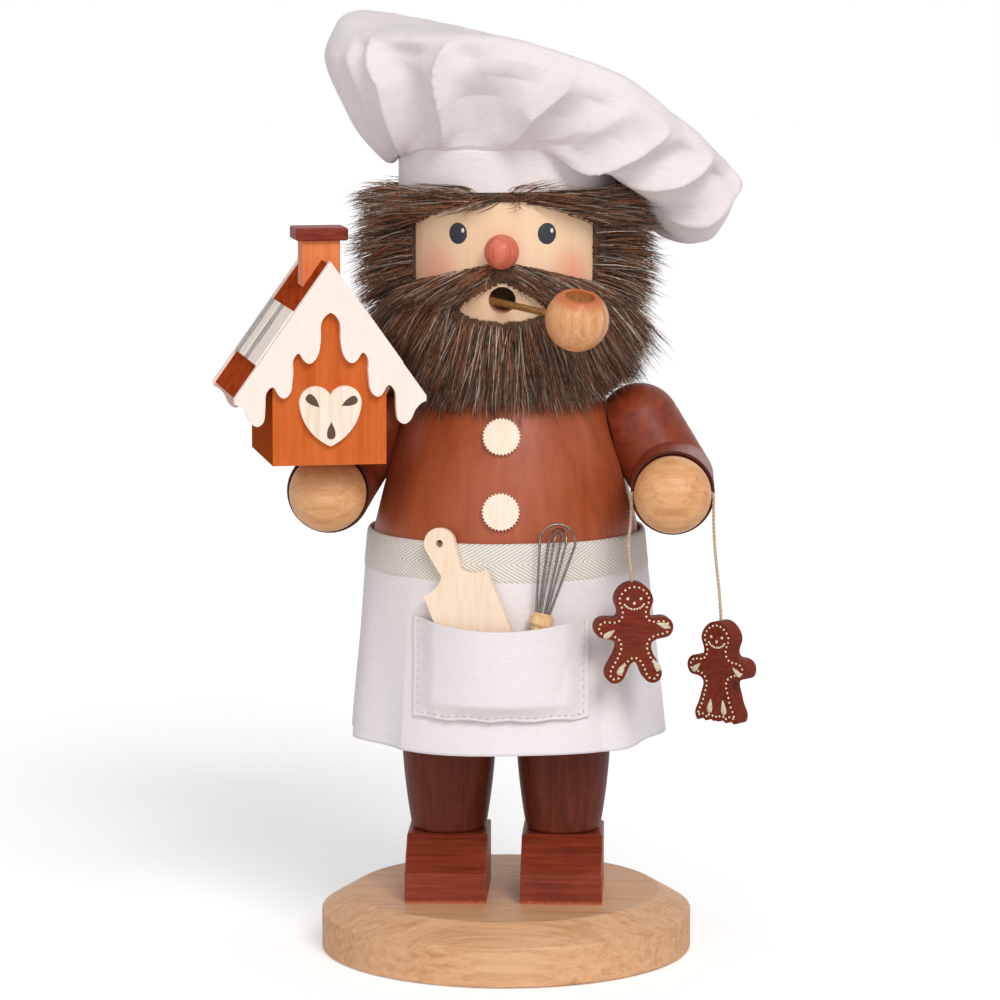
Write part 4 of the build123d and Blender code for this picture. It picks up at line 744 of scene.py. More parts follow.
CROWN_CENTRE = np.array([7.0, 0, 246.0])
CROWN_COLUMNS = 480
CROWN_LINES = 130
crown_turn = np.linspace(0, 2 * pi, CROWN_COLUMNS, endpoint=False)
crown_net = []
for left, right_end, front, rear, heights in CROWN_ROWS:
    around = np.array(heights + heights[:1], float)
    wrapped = np.concatenate([around[-3:-1], around, around[1:3]])
    z = cubic(wrapped, crown_turn / (2 * pi) * 12 + 2)
    cx, ax = (left + right_end) / 2, (right_end - left) / 2
    cy, ay = (front + rear) / 2, (rear - front) / 2
    crown_net.append(np.stack([cx + ax * np.cos(crown_turn), cy + ay * np.sin(crown_turn), z], -1))
crown_net = np.array(crown_net)
crown_places = np.linspace(0, 9, CROWN_LINES)
crown = cubic(crown_net, crown_places)

# Soft gathers: angle at the band, angle at the edge of the top, depth
CROWN_PLEATS = (
    (8, 2, 0.6), (40, 34, 0.6), (72, 68, 0.6), (103, 101, 0.7), (135, 137, 0.6),
    (163, 166, 0.6), (184, 190, 0.5), (201, 206, 0.6), (226, 232, 0.5), (252, 262, 0.5),
    (286, 290, 0.9), (316, 322, 0.9), (344, 346, 0.8),
)
share_out = np.clip(crown_places / 6.3, 0, 1.4)
crease_lines = np.array(
    [[radians(a + (b - a) * min(s, 1.0)) for s in share_out] for a, b, _ in CROWN_PLEATS]
)
depth_of = np.array([d for _, _, d in CROWN_PLEATS])
amplitude = np.interp(
    crown_places,
    [0, 0.5, 1.5, 3, 4.5, 5.6, 6.4, 7.2, 9],
    [0.5, 1.3, 2.2, 2.0, 1.1, 0.5, 0.2, 0.05, 0.0],
)
pleat = np.zeros((CROWN_LINES, CROWN_COLUMNS))
for line in range(CROWN_LINES):
    places = crease_lines[:, line]
    extended = np.concatenate([places[-1:] - 2 * pi, places, places[:1] + 2 * pi])
    depths = np.concatenate([depth_of[-1:], depth_of, depth_of[:1]])
    segment = np.searchsorted(extended, crown_turn, "right") - 1
    segment = np.clip(segment, 0, len(extended) - 2)
    u = (crown_turn - extended[segment]) / (extended[segment + 1] - extended[segment])
    sharp = 1 - np.abs(2 * u**0.82 - 1) ** 1.8
    depth = depths[segment] * (1 - u) + depths[segment + 1] * u
    pleat[line] = (sharp - 0.6) * depth * amplitude[line]

# Sharp folds: rows and angles that the ridge runs through, its height at them, and how far the
# hollow beside it reaches before and after it, in degrees
CROWN_RIDGES = (
    ((0.8, 1.6, 3.6, 5.2, 5.9), (207, 213, 224, 221, 216), (0.0, 1.6, 2.8, 2.0, 0.0), 12, 18),
    ((0.8, 1.6, 3.0, 5.0, 5.7), (237, 239, 243, 247, 248), (0.0, 1.6, 3.2, 2.8, 0.0), 22, 14),
    ((0.8, 1.6, 3.0, 4.1, 5.0), (269, 270, 273, 280, 285), (0.0, 1.8, 4.6, 3.8, 0.0), 28, 18),
    ((1.0, 2.2, 3.2, 4.0, 4.8), (291, 299, 306, 311, 313), (0.0, 2.2, 2.6, 1.2, 0.0), 16, 14),
    ((1.4, 2.6, 3.5, 4.2, 4.8), (316, 321, 326, 330, 333), (0.0, 2.6, 2.8, 1.0, 0.0), 14, 16),
    ((1.8, 3.0, 4.0, 4.8), (345, 346, 347, 348), (0.0, 2.4, 3.2, 0.0), 14, 16),
)
degrees_round = np.degrees(crown_turn)
for rows_at, angles_at, heights_at, before, after in CROWN_RIDGES:
    middle = np.interp(crown_places, rows_at, angles_at)[:, None]
    height = np.interp(crown_places, rows_at, heights_at, 0, 0)[:, None]
    gap = (degrees_round[None] - middle + 180) % 360 - 180
    side = np.where(gap < 0, -gap / before, gap / after)
    crest = np.exp(-((side / 0.12) ** 0.9))
    hollow = np.where(side < 1, np.sin(pi * np.clip(side, 0, 1)) ** 1.3, 0)
    pleat = pleat + height * (crest * 1.15 - hollow * np.where(gap < 0, 1.0, 0.75))
crown_normal = -grid_normals(crown, True)
outward = crown - CROWN_CENTRE
flip = np.sign((crown_normal * outward).sum(-1, keepdims=True).mean())
crown_normal = crown_normal * flip
soft = 0.55 * wobble(crown * np.array([1, 1, 0.8]), 26, 11) + 0.2 * wobble(crown, 9, 12)
soft = soft * np.interp(crown_places, [0, 1, 3, 9], [0.0, 0.3, 1.0, 1.0])[:, None]
crown_outer = crown + crown_normal * (pleat + soft)[..., None]
inner_normal = -grid_normals(crown_outer, True) * flip
crown_inner = crown_outer - inner_normal * HAT_CLOTH
sheet_piece(
    "hat_crown_cloth", "hat_crown", crown_outer, crown_inner, hat_cloth, "hat_cloth", pole=True,
    flat=(0.19, 0.19), area=0.0284, held="gathered", rests_on=["hat_band_cloth"],
)

BAND_PROFILE = (
    (30.1, 226.0), (31.2, 225.9), (31.55, 226.3), (31.6, 229), (31.55, 234), (31.6, 237.2),
    (31.3, 238.0), (30.6, 238.2), (30.1, 237.9),
)
HAT_LINING = 30.05
profile_places = np.linspace(0, len(BAND_PROFILE) - 1, 41)
band_reach, band_level = cubic(BAND_PROFILE, profile_places).T[..., None]
hat_angles = np.linspace(0, 2 * pi, 300, endpoint=False)[None]
seam_bump = 0.5 * np.exp(-(((hat_angles - radians(84)) / radians(3.2)) ** 2))
bulges = 0.10 * np.sin(hat_angles * 5) + seam_bump
hat_band_reach = band_reach + np.where(band_reach > 30.9, 1, 0) * bulges
hat_band_level = band_level + 0.15 * np.sin(hat_angles * 3)
hat_band_outer = ring_points(hat_band_reach, hat_angles, hat_band_level)
hat_band_inner = ring_points(HAT_LINING, hat_angles, hat_band_level)
sheet_piece(
    "hat_band_cloth", "hat_band", hat_band_outer, hat_band_inner, hat_cloth, "hat_cloth",
    flat=(0.2, 0.024), area=0.00296, held="stretched", rests_on=["head"],
)

# ---------------------------------------------------------------- house frame
HOUSE_YAW = radians(13.6)
HOUSE_TILT = radians(0.8)
PITCH = radians(54.5)
house_right = np.array([cos(HOUSE_YAW), sin(HOUSE_YAW), 0.0])
house_front = np.array(
    [sin(HOUSE_YAW) * cos(HOUSE_TILT), -cos(HOUSE_YAW) * cos(HOUSE_TILT), -sin(HOUSE_TILT)]
)
house_up = np.cross(house_front, house_right)
HAND_LEFT_CENTRE = np.array([-49.0, -45.0, 141.3])
house_seat = HAND_LEFT_CENTRE + house_up * 10.8
house_origin = house_seat + house_front * 21.0 - house_right * 2.6
RIDGE = 56.16
HOUSE_DEPTH = 43.5

# ---------------------------------------------------------------- fur
def fur_look(name, base, dark, tip, roughness=0.5):
    look = Look(name, roughness, 0.35)
    tone = look.noise(look.stretch((1, 1, 0.4)), 1.4, 3.0)
    patch = look.noise(look.place, 0.12, 2.0)
    colour = look.ramp(tone, (0.3, dark), (0.55, base), (0.8, tip))
    colour = look.mix(look.step(patch, 0.4, 0.7, 0, 0.25), colour, dark)
    return look.finish(colour, tone, 0.2, 0.03)


fur_materials = [
    fur_look("fur_dark", rgb(84, 62, 48), rgb(52, 38, 29), rgb(116, 88, 70)),
    fur_look("fur_brown", rgb(140, 104, 80), rgb(96, 68, 52), rgb(176, 138, 112)),
    fur_look("fur_rust", rgb(174, 108, 70), rgb(122, 72, 46), rgb(204, 140, 98)),
    fur_look("fur_pale", rgb(212, 196, 180), rgb(160, 140, 122), rgb(238, 228, 218), 0.42),
]
fur_skin = fur_look("fur_skin", rgb(92, 66, 50), rgb(58, 42, 33), rgb(124, 90, 68), 0.8)

FACE_HALF = 25.3
BOWL_CENTRE = (21.9, -50.0, 191.3)
NOSE_CENTRE = (0, -33.5, 209.2)


def hairline(x):
    """The lower edge of the hair over the face."""
    return 216.3 + 6.5 * np.clip(1 - (x / FACE_HALF) ** 2, 0, 1)


def moustache_line(x):
    """The upper edge of the moustache."""
    return 199.9 + 6.2 * np.clip(1 - np.abs(x / FACE_HALF) ** 1.3, 0, 1)


def bare_lips(x, z):
    """Whether a point of the head's front lies in the bare patch round the mouth."""
    half = np.interp(z, [188.6, 189.8, 191.5, 193, 196, 199.6], [0, 8.5, 12, 11.4, 7.5, 0], 0, 0)
    return np.abs(x) < half


SEGMENTS = 5
LOOSENESS = 0.10
DRIFT = 0.05


def grow(roots, normal_part, side_part, rise_part, length, gravity, seed, curl=0.16):
    """Strands that flow over the head: each step turns with the surface below it."""
    draw = np.random.default_rng(seed)
    count = len(roots)
    field = np.stack([wobble(roots, 7, seed + k) for k in range(3)], 1) * curl
    loose = draw.normal(size=(count, 3)) * LOOSENESS
    drift = np.zeros((count, 3))
    point = roots.copy()
    line = [point]
    side = np.where(roots[:, 0] < 0, -1.0, 1.0)
    for step in range(SEGMENTS):
        angle = np.arctan2(point[:, 0], -point[:, 1])
        normal = np.stack([np.sin(angle), -np.cos(angle), 0 * angle], 1)
        tangent = np.stack([np.cos(angle), np.sin(angle), 0 * angle], 1) * side[:, None]
        share = step / SEGMENTS
        direction = (
            normal * normal_part[:, None]
            + tangent * side_part[:, None]
            + np.array([0, 0, 1.0]) * (rise_part - gravity * share)[:, None]
            + field
            + loose
            + drift
        )
        direction /= np.linalg.norm(direction, axis=1, keepdims=True)
        drift = drift + draw.normal(size=(count, 3)) * DRIFT
        point = point + direction * (length / SEGMENTS)[:, None]
        line.append(point)
    return np.stack(line, 1)


CLUMP_BLOCK = 2000


def clump(lines, seed, spacing, pull=0.6):
    """Draws strands together into locks towards their tips."""
    draw = np.random.default_rng(seed)
    guides = lines[draw.choice(len(lines), max(8, len(lines) // spacing), replace=False)]
    nearest = np.empty(len(lines), int)
    for start in range(0, len(lines), CLUMP_BLOCK):
        block = slice(start, start + CLUMP_BLOCK)
        gaps = ((lines[block, None, 0] - guides[None, :, 0]) ** 2).sum(-1)
        nearest[block] = gaps.argmin(1)
    share = np.linspace(0, 1, lines.shape[1])[None, :, None]
    strength = pull * draw.uniform(0.3, 1.0, (len(lines), 1, 1))
    target = guides[nearest] + (lines[:, :1] - guides[nearest][:, :1]) * (1 - 0.75 * share)
    return lines + (target - lines) * strength * share**1.2


def push_from(lines, centre, radius):
    """Pushes strands out of a ball."""
    offset = lines - np.asarray(centre)
    distance = np.linalg.norm(offset, axis=2, keepdims=True)
    return np.where(distance < radius, centre + offset / np.maximum(distance, 1e-6) * radius, lines)


SHOULDER_Z, SHOULDER_RADIUS, SHOULDER_FALL = 160, 31.5, 13.5
ARM_TOP, ARM_RUN, ARM_RADIUS = np.array([39.2, -5, 157.2]), np.array([9.8, -3, -15.9]), 12.5
BOWL_RADIUS, NOSE_RADIUS = 9.4, 5.2


def clear_of_body(lines):
    """Keeps strands out of the head, body, shoulders, upper arms, nose and pipe bowl."""
    z = lines[..., 2]
    reach = np.hypot(lines[..., 0], lines[..., 1])
    rise = (z - SHOULDER_Z) / (NECK_Z - SHOULDER_Z)
    shoulder = SHOULDER_RADIUS - SHOULDER_FALL * (1 - np.sqrt(np.clip(1 - rise**2, 0, 1)))
    body = np.where(z < SHOULDER_Z, torso_radius_at(z), np.where(z < NECK_Z, shoulder, 0)) + 0.5
    head = np.where(z >= NECK_Z, head_radius_at(np.maximum(z, NECK_Z)) + 0.15, 0)
    least = np.maximum(body, head)
    grown = np.where(reach < least, least / np.maximum(reach, 1e-6), 1.0)
    grown[:, 0] = 1.0
    lines = lines * np.stack([grown, grown, np.ones_like(grown)], -1)
    for sign in (-1, 1):
        for share in np.linspace(0, 0.8, 4):
            lines = push_from(lines, (ARM_TOP + ARM_RUN * share) * [sign, 1, 1], ARM_RADIUS)
    lines = push_from(lines, BOWL_CENTRE, BOWL_RADIUS)
    return push_from(lines, NOSE_CENTRE, NOSE_RADIUS)


ROOF_TOP, ROOF_HALF, ROOF_DEEP, EAVE = 57.1, 27.4, 12, 2.5
WALL_HALF = 16
STACK_HALF, STACK_UP, STACK_DEEP = 8.2, (40, 66.0), (-26, -11.5)


def in_roof(lines, margin=0.7):
    """Whether a strand enters the house's roof, walls or chimney."""
    local = lines - house_origin
    x = np.abs(local @ house_right)
    y = local @ house_up
    depth = local @ house_front
    top = ROOF_TOP - x * tan(PITCH) + margin / cos(PITCH)
    inside = (depth < EAVE + margin) & (depth > -HOUSE_DEPTH - EAVE - margin)
    roof = (x < ROOF_HALF + margin) & (y < top) & (y > np.maximum(top - ROOF_DEEP, 0))
    walls = (x < WALL_HALF + margin) & (y > 0) & (y < top)
    stack = (x < STACK_HALF) & (y > STACK_UP[0]) & (y < STACK_UP[1])
    stack = stack & (depth > STACK_DEEP[0]) & (depth < STACK_DEEP[1])
    return (inside & (roof | walls) | stack).any(1)


def strand_mesh(lines, width, seed):
    """Closed three-sided hairs that taper to a point."""
    count, places = lines.shape[:2]
    tangent = np.gradient(lines, axis=1)
    tangent /= np.maximum(np.linalg.norm(tangent, axis=2, keepdims=True), 1e-9)
    draw = np.random.default_rng(seed)
    helper = draw.normal(size=(count, 1, 3))
    across = np.cross(tangent, helper)
    across /= np.maximum(np.linalg.norm(across, axis=2, keepdims=True), 1e-9)
    over = np.cross(tangent, across)
    taper = np.interp(np.linspace(0, 1, places), [0, 0.25, 0.7, 1], [0.85, 1.0, 0.75, 0.0])
    radius = (width[:, None] * taper[None])[..., None, None]
    ring = circle(3)[None, None, :, :, None]
    rows = lines[:, :, None] + radius * (
        ring[..., 0, :] * across[:, :, None] + ring[..., 1, :] * over[:, :, None]
    )
    side_faces = grid_faces(places, 3, True, 0, False, True)
    faces = np.concatenate([side_faces, [[0, 2, 1]]])
    every = (faces[None] + (np.arange(count) * places * 3)[:, None, None]).reshape(-1, 3)
    return rows.reshape(-1, 3), every, len(faces)


def fur_piece(name, node, lines, width, seed):
    draw = np.random.default_rng(seed)
    lines = lines[~in_roof(lines)]
    draw_width = width * draw.uniform(0.75, 1.25, len(lines))
    kind = draw.choice(4, len(lines), p=[0.27, 0.31, 0.27, 0.15])
    points, faces, per_strand = strand_mesh(lines, draw_width, seed)
    piece = new_piece(
        name, points, faces, "upper_body", fur_materials, "fur", layers=np.repeat(kind, per_strand)
    )
    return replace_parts(piece, node)


SKIN_PITCH = 0.8
SKIN_DEPTH = 1.5


def fur_base(name, node, covered):
    """A brown pelt over the part of the head that is covered, thinner towards its edges."""
    turns = np.radians(np.arange(0, 360, 1.5)) - pi
    levels = np.arange(177.6, 226.1, SKIN_PITCH)
    reach = head_radius_at(np.maximum(levels, NECK_Z))[:, None]
    bare = ring_points(reach + 0.06, turns[None] + pi / 2, levels[:, None] + 0 * reach)
    inside = covered(bare)
    depth = np.zeros(inside.shape)
    layer = inside
    while layer.any() and depth.max() < SKIN_DEPTH:
        depth = depth + layer * SKIN_PITCH * 0.45
        wide = np.concatenate([layer[:, -1:], layer, layer[:, :1]], 1)
        tall = np.concatenate([layer[:1], layer, layer[-1:]], 0)
        layer = layer & wide[:, :-2] & wide[:, 2:] & tall[:-2] & tall[2:]
    pelt = ring_points(reach + 0.3 + depth, turns[None] + pi / 2, levels[:, None] + 0 * reach)
    rows, columns = inside.shape
    index = np.arange(rows * columns).reshape(rows, columns)
    index = np.concatenate([index, index[:, :1]], 1)
    cell = np.concatenate([inside, inside[:, :1]], 1)
    cell = cell[:-1, :-1] & cell[:-1, 1:] & cell[1:, :-1] & cell[1:, 1:]
    corners = (index[:-1, :-1], index[:-1, 1:], index[1:, 1:], index[1:, :-1])
    a, b, c, d = (corner[cell] for corner in corners)
    top = np.concatenate([np.stack([a, b, c], 1), np.stack([a, c, d], 1)])
    edges = np.concatenate([top[:, [0, 1]], top[:, [1, 2]], top[:, [2, 0]]])
    keys = {tuple(edge) for edge in edges}
    rim = np.array([edge for edge in edges if (edge[1], edge[0]) not in keys])
    count = rows * columns
    walls = np.concatenate(
        [
            np.stack([rim[:, 1], rim[:, 0], rim[:, 0] + count], 1),
            np.stack([rim[:, 1], rim[:, 0] + count, rim[:, 1] + count], 1),
        ]
    )
    faces = np.concatenate([top, top[:, ::-1] + count, walls])
    points = np.concatenate([pelt.reshape(-1, 3), bare.reshape(-1, 3)])
    piece = new_piece(name, points, faces, "upper_body", fur_skin, "fur")
    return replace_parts(piece, node)


def bearded(p):
    """The beard's and the moustache's part of the head."""
    x, z = p[..., 0], p[..., 2]
    top = np.where(np.abs(x) < FACE_HALF, moustache_line(x), 199.7)
    return (p[..., 1] < -6) & (z < top) & ~bare_lips(x, z)


def haired(p):
    x, z = p[..., 0], p[..., 2]
    front = p[..., 1] < 0
    window = front & (np.abs(x) < FACE_HALF) & (z < hairline(x))
    return ~window & ~((p[..., 1] < -6) & (z < 199.7))


fur_base("hair_skin", "hair_fur", haired)
beard_skin = fur_base("beard_skin", "beard_fur", bearded)
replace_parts(beard_skin, "moustache_fur")


def scatter(count, angle_range, z_range, seed, keep):
    """Roots spread evenly over a part of the head's surface."""
    draw = np.random.default_rng(seed)
    found = []
    total = 0
    while total < count:
        angle = draw.uniform(*angle_range, count * 3)
        z = draw.uniform(*z_range, count * 3)
        radius = head_radius_at(z)
        points = np.stack([radius * np.sin(angle), -radius * np.cos(angle), z], 1)
        points = points[keep(points)]
        found.append(points)
        total += len(points)
    return np.concatenate(found)[:count]


DENSITY = 1.0
HAIR_COUNT, BEARD_COUNT, MOUSTACHE_COUNT = (int(n * DENSITY) for n in (10500, 8200, 2500))
HAIR_TOP_Z = 227.5
hair_roots = scatter(HAIR_COUNT, (-pi, pi), (178.5, 225.9), 21, haired)
hair_angle = np.abs(np.arctan2(hair_roots[:, 0], -hair_roots[:, 1]))
hair_z = hair_roots[:, 2]
edge_draw = np.random.default_rng(22)
parting = np.clip(np.abs(hair_roots[:, 0]) / 4, 0.25, 1)
hair_lines = grow(
    hair_roots,
    normal_part=np.interp(hair_angle, [0, 0.7, 1.2, 1.7, pi], [0.24, 0.62, 0.95, 1.0, 0.95]),
    side_part=np.interp(hair_angle, [0, 0.7, 1.2, 1.7, pi], [1.0, 0.85, 0.45, 0.12, 0.1]) * parting,
    rise_part=np.interp(
        hair_z, [178, 190, 203, 214, 222, 226], [-0.85, -0.5, -0.16, -0.02, 0.05, 0.1]
    ),
    length=np.interp(hair_angle, [0, 0.6, 1.2, pi], [20, 20, 17.5, 16.5])
    * np.interp(hair_z, [178, 186, 200, 226], [0.62, 0.85, 1.0, 0.95])
    * edge_draw.choice([0.75, 0.95, 1.1, 1.3], len(hair_roots), p=[0.3, 0.4, 0.22, 0.08])
    * edge_draw.uniform(0.85, 1.08, len(hair_roots)),
    gravity=np.interp(hair_angle, [0, 0.9, 1.4, pi], [0.1, 0.25, 0.5, 0.55]),
    seed=23,
)
hair_lines = clear_of_body(clump(hair_lines, 24, 16))
# Strands that would hang over the face or lie on the hat are flattened towards its edge
hair_across, hair_depth, hair_level = (hair_lines[..., k] for k in range(3))
lowest = hairline(hair_across) - 0.6
over_face = (hair_depth < 0) & (np.abs(hair_across) < FACE_HALF - 1)
sinks = over_face & (hair_level < lowest) & (hair_z[:, None] > 212)
hair_level[...] = np.where(sinks, lowest + 0.25 * (hair_level - lowest), hair_level)
strays = (hair_depth < 10) & (hair_level > HAIR_TOP_Z)
hair_level[...] = np.where(strays, HAIR_TOP_Z + 0.3 * (hair_level - HAIR_TOP_Z), hair_level)
fur_piece("hair_strands", "hair_fur", hair_lines, 0.14, 25)

BEARD_TOP_Z = 200.2
beard_roots = scatter(
    BEARD_COUNT,
    (-radians(100), radians(100)),
    (176.5, BEARD_TOP_Z),
    31,
    lambda p: bearded(p) & (p[:, 2] < BEARD_TOP_Z) & ((p[:, 2] < 191.5) | (np.abs(p[:, 0]) > 13)),
)
beard_x = beard_roots[:, 0]
beard_z = beard_roots[:, 2]
beard_angle = np.abs(np.arctan2(beard_x, -beard_roots[:, 1]))
beard_draw = np.random.default_rng(32)
beard_lines = grow(
    beard_roots,
    normal_part=np.interp(beard_z, [176, 188, 200], [0.55, 0.42, 0.4])
    + np.interp(beard_angle, [0, 0.8, 1.6], [0, 0.1, 0.5]),
    side_part=np.clip(beard_angle / 0.9, 0, 1) * 0.42,
    rise_part=np.interp(beard_angle, [0, 0.8, 1.6], [-0.95, -0.85, -0.7]),
    length=np.interp(beard_z, [176, 188, 200], [17, 22, 24])
    * beard_draw.choice([0.78, 0.98, 1.14, 1.3], len(beard_roots), p=[0.28, 0.4, 0.24, 0.08])
    * beard_draw.uniform(0.88, 1.08, len(beard_roots)),
    gravity=0.4,
    seed=33,
    curl=0.1,
)
beard_lines = clear_of_body(clump(beard_lines, 34, 15))
fur_piece("beard_strands", "beard_fur", beard_lines, 0.145, 35)

moustache_draw = np.random.default_rng(41)
side_sign = np.where(moustache_draw.random(MOUSTACHE_COUNT) < 0.5, -1.0, 1.0)
moustache_x = side_sign * moustache_draw.uniform(0.1, 24.5, MOUSTACHE_COUNT)
moustache_top = moustache_line(moustache_x)
moustache_z = moustache_top - moustache_draw.uniform(0, 1, MOUSTACHE_COUNT) * np.interp(
    np.abs(moustache_x), [0, 6, 12, 25], [4.6, 6.0, 9.0, 8.0]
)
moustache_y = -np.sqrt(HEAD_RADIUS**2 - moustache_x**2)
moustache_roots = np.stack([moustache_x, moustache_y, moustache_z], 1)
moustache_roots = moustache_roots[~bare_lips(moustache_x, moustache_z)]
kept_count = len(moustache_roots)
moustache_lines = grow(
    moustache_roots,
    normal_part=np.interp(np.abs(moustache_roots[:, 0]), [0, 12, 25], [0.32, 0.4, 0.7]),
    side_part=np.full(kept_count, 0.9),
    rise_part=-0.34 - 0.12 * moustache_draw.random(kept_count),
    length=moustache_draw.uniform(10, 18, kept_count),
    gravity=0.4,
    seed=43,
    curl=0.08,
)
moustache_lines = clear_of_body(clump(moustache_lines, 44, 14, 0.5))
fur_piece("moustache_strands", "moustache_fur", moustache_lines, 0.13, 45)


# ---------------------------------------------------------------- painted details
def head_point(arc, z, lift):
    """A point over the head's surface: arc is measured round it from the front."""
    angle = np.asarray(arc) / HEAD_RADIUS
    reach = HEAD_RADIUS + lift
    return np.stack([reach * np.sin(angle), -reach * np.cos(angle), 0 * angle + z], -1)


def head_pad(centre_x, centre_z, half_width, half_height, profile, sides=40):
    """A thin painted spot that follows the head's curve."""
    arc = HEAD_RADIUS * asin(centre_x / HEAD_RADIUS)
    outline = circle(sides) * [half_width, half_height]
    rows = []
    for scale, lift in profile:
        rows.append(head_point(arc + outline[:, 0] * scale, centre_z + outline[:, 1] * scale, lift))
    points = np.array(rows).reshape(-1, 3)
    return points, grid_faces(len(profile), sides, True, 0, True, True)


def paint_look(name, base, dark, roughness=0.4, pitch=1.5):
    look = Look(name, roughness, 0.4)
    tone = look.noise(look.place, pitch, 3.0)
    brush = look.noise(look.stretch((1, 1, 0.3)), pitch * 2, 2.0)
    colour = look.ramp(tone, (0.35, dark), (0.6, base))
    rough = look.step(tone, 0.3, 0.7, roughness - 0.05, roughness + 0.1)
    return look.finish(colour, brush, 0.15, 0.05, rough)


eye_paint = paint_look("eye_paint", rgb(58, 61, 72), rgb(40, 42, 52), 0.45, 2.0)
white_paint = paint_look("white_paint", rgb(248, 244, 236), rgb(232, 224, 212), 0.5)
spot_profile = [(0, -0.1), (1, -0.1), (1.0, 0.06), (0.93, 0.13), (0.5, 0.17), (0, 0.18)]
EYE_X, EYE_Z = 12.75, 214.1
eyes = join_parts([head_pad(x, EYE_Z, 2.85, 3.05, spot_profile) for x in (-EYE_X, EYE_X)])
new_piece("eyes", *eyes, "upper_body", eye_paint, "head_wood")
glint_profile = [(0, 0.1), (1, 0.1), (0.9, 0.2), (0, 0.24)]
GLINT_Z = EYE_Z + 0.85
glints = join_parts([head_pad(x, GLINT_Z, 0.5, 0.72, glint_profile, 20) for x in (-11.3, 14.05)])
new_piece("eye_glints", *glints, "upper_body", white_paint, "head_wood")

# ---- gingerbread figures: dots along the edge, faces and almonds
MAN_SHARES = (
    (0, 0), (0.34, 0.055), (0.48, 0.19), (0.4, 0.29), (0.42, 0.335), (0.68, 0.345),
    (0.93, 0.375), (1, 0.45), (0.9, 0.53), (0.62, 0.56), (0.45, 0.6), (0.48, 0.7),
    (0.66, 0.83), (0.71, 0.92), (0.58, 0.99), (0.36, 0.985), (0.2, 0.9), (0.09, 0.81),
    (0, 0.785),
)
WOMAN_SHARES = (
    (0, 0), (0.36, 0.055), (0.52, 0.19), (0.43, 0.29), (0.46, 0.335), (0.72, 0.355),
    (0.95, 0.4), (1, 0.475), (0.88, 0.545), (0.62, 0.56), (0.46, 0.6), (0.5, 0.7),
    (0.62, 0.83), (0.72, 0.95), (0.62, 1), (0.48, 0.975), (0.34, 1), (0.2, 0.975),
    (0.08, 0.995), (0, 0.99),
)
dot_profile = [(0, -0.1), (1, -0.1), (0.95, 0.08), (0.65, 0.2), (0, 0.25)]
almond_profile = [(0, -0.1), (1, -0.1), (1, 0.1), (0.86, 0.3), (0.5, 0.42), (0, 0.46)]
drop_angles = np.linspace(0, 2 * pi, 28, endpoint=False)
drop_outline = np.stack(
    [np.sin(drop_angles) * (0.62 - 0.38 * np.cos(drop_angles)) * 0.95, np.cos(drop_angles) * 1.0], 1
)
icing_paint = paint_look("icing_dots", rgb(246, 234, 208), rgb(226, 208, 176), 0.55, 3.0)
almond_paint = paint_look("almond_paint", rgb(226, 212, 184), rgb(196, 178, 146), 0.5, 1.2)


COOKIE_HEIGHT = 29.0
COOKIE_FRONT = 2.5
DOT_INSET = 1.2
DOT_SPACING = 1.4


def decorate(name, shares, half_width, head_top, yaw, almonds, eye_places):
    """Icing dots, a face and almonds on a figure; each almond: x, y, slant and size."""
    turned = radians(yaw)
    across = np.array([cos(turned), sin(turned), 0])
    outwards = np.array([sin(turned), -cos(turned), 0])
    upwards = np.array([0, 0, 1.0])
    right_half = [(x * half_width, -y * COOKIE_HEIGHT) for x, y in shares]
    outline = right_half + [(-x, y) for x, y in right_half[-2:0:-1]]
    line = periodic_spline(outline, 400)
    direction = np.roll(line, -3, 0) - np.roll(line, 3, 0)
    direction /= np.linalg.norm(direction, axis=1, keepdims=True)
    inwards = np.stack([direction[:, 1], -direction[:, 0]], 1)
    inset = line + inwards * DOT_INSET
    gaps = np.linalg.norm(inset[:, None] - line[None], axis=2).min(1)
    inset = inset[gaps > 1.0]
    dots = even_points(inset, DOT_SPACING)
    smile_angle = np.radians(np.linspace(-62, 62, 9))
    smile = np.stack([3.1 * np.sin(smile_angle), -5.1 - 2.5 * np.cos(smile_angle)], 1)
    front = np.asarray(head_top) + outwards * COOKIE_FRONT

    def lift(flat):
        flat = np.atleast_2d(flat)
        return front + flat[:, :1] * across + flat[:, 1:] * upwards

    small_dots = lift(np.concatenate([dots, smile]))
    icing = [
        pads(circle(9) * 0.33, dot_profile, small_dots, across, upwards, outwards),
        pads(circle(14) * 0.44, dot_profile, lift(eye_places), across, upwards, outwards),
    ]
    new_piece(f"{name}_icing_dots", *join_parts(icing), name, icing_paint, "gingerbread_wood")
    nuts = []
    for x, y, slant, size in almonds:
        angle = radians(slant)
        nuts.append(
            pads(
                drop_outline * [1.26 * size, 1.95 * size],
                almond_profile,
                lift((x, y)),
                across * cos(angle) + upwards * sin(angle),
                upwards * cos(angle) - across * sin(angle),
                outwards,
            )
        )
    new_piece(f"{name}_almonds", *join_parts(nuts), name, almond_paint, "gingerbread_wood")


FACE_DOTS = ((-1.9, -4.6), (1.9, -4.6), (0, -5.9))
decorate(
    "gingerbread_man", MAN_SHARES, 11.3, (37.853, -43.774, 116.2), 10,
    [(-7.2, -14.6, -55, 1), (8.2, -12.3, 72, 1), (-3.6, -24.7, -29, 1.05),
     (6.4, -23.7, 31, 1.05)],
    FACE_DOTS,
)
decorate(
    "gingerbread_woman", WOMAN_SHARES, 10.4, (63.247, -43.774, 105.2), -38,
    [(-7.2, -13.9, -48, 0.95), (7.2, -13.9, 50, 0.95), (-2.2, -24.6, -8, 1.1),
     (2.6, -24.6, 8, 1.1)],
    FACE_DOTS,
)


